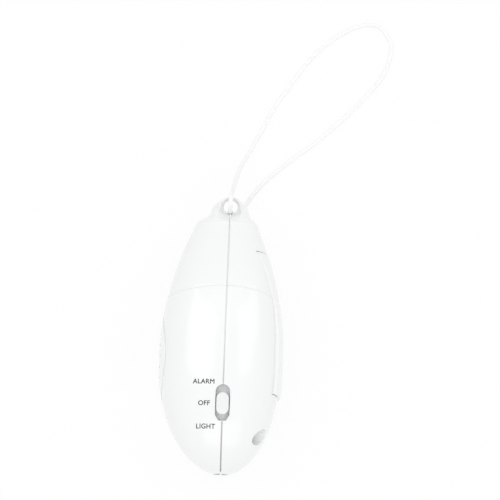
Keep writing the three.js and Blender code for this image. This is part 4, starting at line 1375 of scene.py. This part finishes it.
@dataclass
class CordLoop:
    """The cord: from its knot under the eye, up through the hole, over the arch, round on the floor and back."""

    diameter: float = 1.7
    sides: int = 16
    steps: int = 330
    knot: Point = (3.0, 48.5, 2.3)
    knot_size: float = 1.42
    knot_rise: float = 1.3
    knot_sides: int = 14
    knot_steps: int = 96
    fine: int = 24
    least_span: float = 0.3
    route: tuple[Point, ...] = (
        (3, 48.5, 4.9), (2.6, 48.6, 8.5), (1.9, 48.5, 12.5), (1.3, 48.2, 16.5), (1.1, 47.6, 19.4), (1.2, 47, 22),
        (1.2, 46.1, 24.5), (1.2, 46.3, 26.9), (1.3, 47.4, 28.5), (1.4, 49.3, 29.1), (1.5, 51.2, 28.5),
        (1.7, 52.7, 27), (1.9, 54, 24.9), (2.1, 56, 21.9), (2.5, 58.8, 18.4), (3.1, 62.2, 14.6), (3.9, 66.2, 10.7),
        (5.4, 70.4, 7.1), (7.2, 74.6, 4.2), (8.9, 78.6, 2.1), (10.7, 82.6, 1.1), (12.8, 86.8, 0.9),
        (16.6, 94.8, 0.9), (21.9, 103.4, 0.9), (26.2, 109.9, 0.9), (30.9, 116.5, 0.9), (39.2, 124.8, 0.9),
        (48, 130.6, 0.9), (53.2, 132.3, 0.9), (58.4, 131.7, 0.9), (61.8, 127.9, 0.9), (63.7, 123.3, 0.9),
        (62.6, 116.4, 0.9), (59.8, 109.6, 0.9), (53.6, 101.6, 0.9), (46.3, 93.5, 0.9), (40, 87.3, 0.9),
        (31.8, 79.9, 0.9), (24, 73.6, 0.9), (15.1, 65.6, 0.9), (9.5, 58.9, 0.9), (6.5, 54.2, 1.1), (4.7, 51.1, 1.7),
    )

    def path(self) -> list[Vector]:
        """Gives evenly spaced points on a smooth curve through the route.

        Returns:
            The cord's centreline.
        """
        points = [Vector(point) for point in self.route]
        dense: list[Vector] = []
        for index in range(len(points) - 1):
            before, start, end, after = (points[max(0, min(len(points) - 1, index + k))] for k in (-1, 0, 1, 2))
            spans = [max(self.least_span, (b - a).length ** 0.5)
                     for a, b in ((before, start), (start, end), (end, after))]
            direct = (end - start) / spans[1]
            lean_in = direct - (end - before) / (spans[0] + spans[1]) + (start - before) / spans[0]
            lean_out = (after - end) / spans[2] - (after - start) / (spans[1] + spans[2]) + direct
            if index == 0:
                lean_in = direct
            if index == len(points) - 2:
                lean_out = direct
            dense += [cubic(k / self.fine, start, end, spans[1] * lean_in, spans[1] * lean_out)
                      for k in range(self.fine)]
        dense.append(points[-1])
        return evenly(dense, self.steps)

    def build(self) -> tuple[bpy.types.Object, list[Vector]]:
        """Builds the cord.

        Returns:
            The cord and its centreline in metres.
        """
        line = self.path()
        cord = swept("cord_loop_braid", line, self.diameter / 2, self.sides, False)
        return cord, [point * MM for point in line]

    def build_knot(self) -> bpy.types.Object:
        """Builds the knot: an overhand loop drawn tight.

        Returns:
            The knot.
        """
        size = self.knot_size / 3.0
        turns = (i / self.knot_steps * 2 * math.pi for i in range(self.knot_steps))
        trefoil = (Vector((math.sin(t) + 2 * math.sin(2 * t), math.cos(t) - 2 * math.cos(2 * t),
                           -self.knot_rise * math.sin(3 * t)))
                   for t in turns)
        line = [point * size + Vector(self.knot) for point in trefoil]
        return swept("cord_knot_braid", line, self.diameter / 2, self.knot_sides, True)


def evenly(line: Sequence[Vector], steps: int) -> list[Vector]:
    """Spaces points evenly along a line.

    Args:
        line: Points of the line.
        steps: Number of steps wanted.

    Returns:
        One point more than the steps.
    """
    reach = [0.0]
    for a, b in zip(line, line[1:]):
        reach.append(reach[-1] + (b - a).length)
    made, index = [], 0
    for step in range(steps + 1):
        wanted = reach[-1] * step / steps
        while index < len(line) - 2 and reach[index + 1] < wanted:
            index += 1
        span = reach[index + 1] - reach[index]
        made.append(line[index].lerp(line[index + 1], min(1.0, (wanted - reach[index]) / span)))
    return made


def swept(name: str, line: Sequence[Vector], radius: float, sides: int, closed: bool) -> bpy.types.Object:
    """Draws a circle along a line, with a UV map that follows it.

    Args:
        name: Name of the piece.
        line: Centre of each ring, in millimetres.
        radius: Radius of the circle.
        sides: Faces round it.
        closed: Whether the line is a loop.

    Returns:
        The tube.
    """
    work = bmesh.new()
    chart = work.loops.layers.uv.new("UVMap")
    normal = Vector((0, 0, 1))
    rings: list[list[bmesh.types.BMVert]] = []
    count = len(line)
    for index, centre in enumerate(line):
        after = line[(index + 1) % count] if closed or index + 1 < count else line[index]
        before = line[index - 1] if closed or index else line[0]
        ahead = (after - before).normalized()
        normal = (normal - ahead * normal.dot(ahead)).normalized()
        basis = Matrix((normal, ahead.cross(normal), ahead)).transposed().to_4x4()
        ring = bmesh.ops.create_circle(work, cap_ends=False, segments=sides, radius=radius)["verts"]
        bmesh.ops.transform(work, matrix=Matrix.Translation(centre) @ basis, verts=ring)
        rings.append(ring)
    pairs = list(zip(range(count - 1), range(1, count))) + ([(count - 1, 0)] if closed else [])
    along = 0.0
    for a, b in pairs:
        start = 0
        if b == 0:
            start = min(range(sides), key=lambda k: (rings[b][k].co - rings[a][0].co).length)
        step = (line[b] - line[a]).length * MM
        for k in range(sides):
            corners = (rings[a][k], rings[a][(k + 1) % sides],
                       rings[b][(k + 1 + start) % sides], rings[b][(k + start) % sides])
            face = work.faces.new(corners)
            for loop, (u, v) in zip(face.loops, ((k, 0), (k + 1, 0), (k + 1, 1), (k, 1))):
                loop[chart].uv = (u / sides, along + v * step)
        along += step
    if not closed:
        for ring in (rings[0], rings[-1]):
            work.faces.new(ring)
    for edge in [edge for edge in work.edges if not edge.link_faces]:
        work.edges.remove(edge)
    bmesh.ops.recalc_face_normals(work, faces=work.faces)
    return to_object(name, work)


# Studio

@dataclass
class Studio:
    """Camera, lamps, floor and a plain pale surround."""

    tilt: float = 13.0
    roll: float = 2.0
    distance: float = 0.6
    lens: float = 113.684
    target: Point = (0.0093, 0.03233, 0.0205)
    sensor: float = 36.0
    clip_end: float = 20.0
    surround: float = 0.83
    floor_glow: float = 0.9
    floor_white: float = 0.92
    floor_half: float = 3000.0
    lamps: tuple[tuple[str, Point, tuple[float, float], float], ...] = (
        ("key", (-0.5, 0.25, 0.9), (0.5, 0.8), 1.25), ("fill", (0.6, 0.3, 0.8), (0.4, 0.8), 0.95),
        ("top", (0.0, 0.5, 1.1), (0.9, 0.4), 0.35), ("low", (0.05, -0.6, 0.6), (0.8, 0.4), 0.8))

    def camera(self) -> None:
        """Makes the camera at the photograph's viewing angle."""
        lean, roll = math.radians(self.tilt), math.radians(self.roll)
        ahead = Vector((0, math.sin(lean), -math.cos(lean)))
        level = Vector((0, math.cos(lean), math.sin(lean)))
        right = Vector((1, 0, 0)) * math.cos(roll) + level * math.sin(roll)
        up = Vector((-1, 0, 0)) * math.sin(roll) + level * math.cos(roll)
        data = bpy.data.cameras.new("camera")
        data.lens = self.lens
        data.sensor_width = self.sensor
        data.clip_end = self.clip_end
        camera = bpy.data.objects.new("camera", data)
        bpy.context.scene.collection.objects.link(camera)
        basis = Matrix((right, up, -ahead)).transposed().to_4x4()
        camera.matrix_world = Matrix.Translation(Vector(self.target) - ahead * self.distance) @ basis
        bpy.context.scene.camera = camera

    def lamp(self, name: str, place: Point, size: tuple[float, float], power: float) -> None:
        """Hangs one soft lamp that points at the object.

        Args:
            name: Its name.
            place: Its place in metres.
            size: Its size in metres.
            power: Its power in watts.
        """
        data = bpy.data.lights.new(name, "AREA")
        data.shape = "RECTANGLE"
        data.size, data.size_y = size
        data.energy = power
        lamp = bpy.data.objects.new(name, data)
        bpy.context.scene.collection.objects.link(lamp)
        toward = Vector(self.target) - Vector(place)
        lamp.matrix_world = Matrix.Translation(place) @ toward.to_track_quat("-Z", "Y").to_matrix().to_4x4()

    def surroundings(self) -> None:
        """Makes the world: white where it is seen or mirrored, softer where it lights."""
        world = bpy.data.worlds.new("surround")
        bpy.context.scene.world = world
        world.use_nodes = True
        tree = world.node_tree
        tree.nodes.clear()
        strength = self.surround + seen_rays(tree) * (1 - self.surround)
        light = add_node(tree, "ShaderNodeBackground", {}, {"Color": grey(1.0), "Strength": strength})
        output = tree.nodes.new("ShaderNodeOutputWorld")
        tree.links.new(light.socket, output.inputs["Surface"])

    def floor(self) -> None:
        """Makes the plain pale floor, which keeps a soft shadow."""
        work = bmesh.new()
        bmesh.ops.create_grid(work, x_segments=1, y_segments=1, size=self.floor_half)
        floor = to_object("floor", work, smooth=False)
        made = bpy.data.materials.new("floor")
        made.use_nodes = True
        tree = made.node_tree
        tree.nodes.clear()
        seen = seen_rays(tree) * self.floor_glow
        matt = add_node(tree, "ShaderNodeBsdfDiffuse", {}, {"Color": grey(self.floor_white)})
        glow = add_node(tree, "ShaderNodeEmission", {}, {"Color": grey(1.0), "Strength": 1.0})
        mixed = add_node(tree, "ShaderNodeMixShader", {}, {0: seen, 1: matt, 2: glow})
        output = tree.nodes.new("ShaderNodeOutputMaterial")
        tree.links.new(mixed.socket, output.inputs["Surface"])
        floor.data.materials.append(made)

    def build(self) -> None:
        """Sets up everything round the object."""
        bpy.context.scene.view_settings.view_transform = "Standard"
        self.surroundings()
        self.floor()
        for values in self.lamps:
            self.lamp(*values)


INNER_SLOTS: dict[str, Slot] = {slot.value.name: slot for slot in Slot}


def dress_inside(paints: Paintbox) -> None:
    """Gives each node that still shows the finish of its slot.

    Args:
        paints: Finishes made so far.
    """
    for part in frame["record"]["subparts"]:
        node = frame["nodes"][part["node"]]
        if not node.hide_render:
            paints.dress(node, INNER_SLOTS[part["material_slot"]].value)
    LOG.info("inner pieces dressed")


def main() -> None:
    """Builds the scene: camera and cord first, then the case and its pieces, then the inside."""
    paints = Paintbox()
    studio = Studio()
    studio.camera()

    loop = CordLoop()
    knot = paints.fit(loop.build_knot(), Slot.WHITE_CORD.value, "case", "cord_knot")
    cord, line = loop.build()
    paints.fit(cord, Slot.WHITE_CORD.value, "case", "cord_loop")
    length = sum((b - a).length for a, b in zip(line, line[1:]))
    [tuple(point) for point in line]
    LOG.info("cord %.1f mm", length / MM)

    outline = Outline()
    case, cover, grille, switch = Case(outline), BatteryCover(outline), SirenGrille(outline), SlideSwitch(outline)
    front = case.build(-1, [*grille.seat_tools(), switch.slot_tool()])
    rear = case.build(1, [cover.seat_tool(), cover.bay_tool(), *case.recess_tools(), switch.slot_tool()])
    for shell, node in ((front, "front_shell"), (rear, "rear_shell")):
        shade_by_angle(shell, case.crease)
        paints.fit(shell, Slot.WHITE_SHELL.value, "case", node)

    lid = cover.build()
    soften(lid, cover.edge)
    shade_by_angle(lid, cover.crease)
    paints.fit(lid, Slot.WHITE_SHELL.value, "cover", "battery_cover")
    panel = grille.build()
    soften(panel, grille.edge, 2)
    shade_by_angle(panel, grille.crease)
    paints.fit(panel, Slot.WHITE_SHELL.value, "case", "siren_grille")

    knob = switch.knob()
    shade_by_angle(knob, switch.crease)
    paints.fit(knob, Slot.WHITE_KNOB.value, "slider", "switch_knob")
    for word, x, station in switch.labels:
        paints.fit(switch.label(word, x, station), Slot.LABEL_INK.value, "case", slot="white_shell")

    for index, height in enumerate((case.recess_offset, -case.recess_offset), 1):
        screw = CrossScrew(case.recess_station, height).build(f"case_screw_{index}_cross")
        paints.fit(screw, Slot.PLATED_STEEL.value, "case", f"case_screw_{index}")
    paints.fit(TorchLamp().build(), Slot.CLEAR_LAMP.value, "case", "lamp_led")
    for name, height, station, upright in (("battery_1", 5.4, 35.3, True), ("battery_2", -5.4, 32.4, False)):
        cell = RoundCell(height, station, upright).build(f"{name}_cell")
        paints.fit(cell, Slot.CELL_SLEEVE.value, "case", name)
    dress_inside(paints)
    studio.build()


if __name__ == "__main__":
    main()
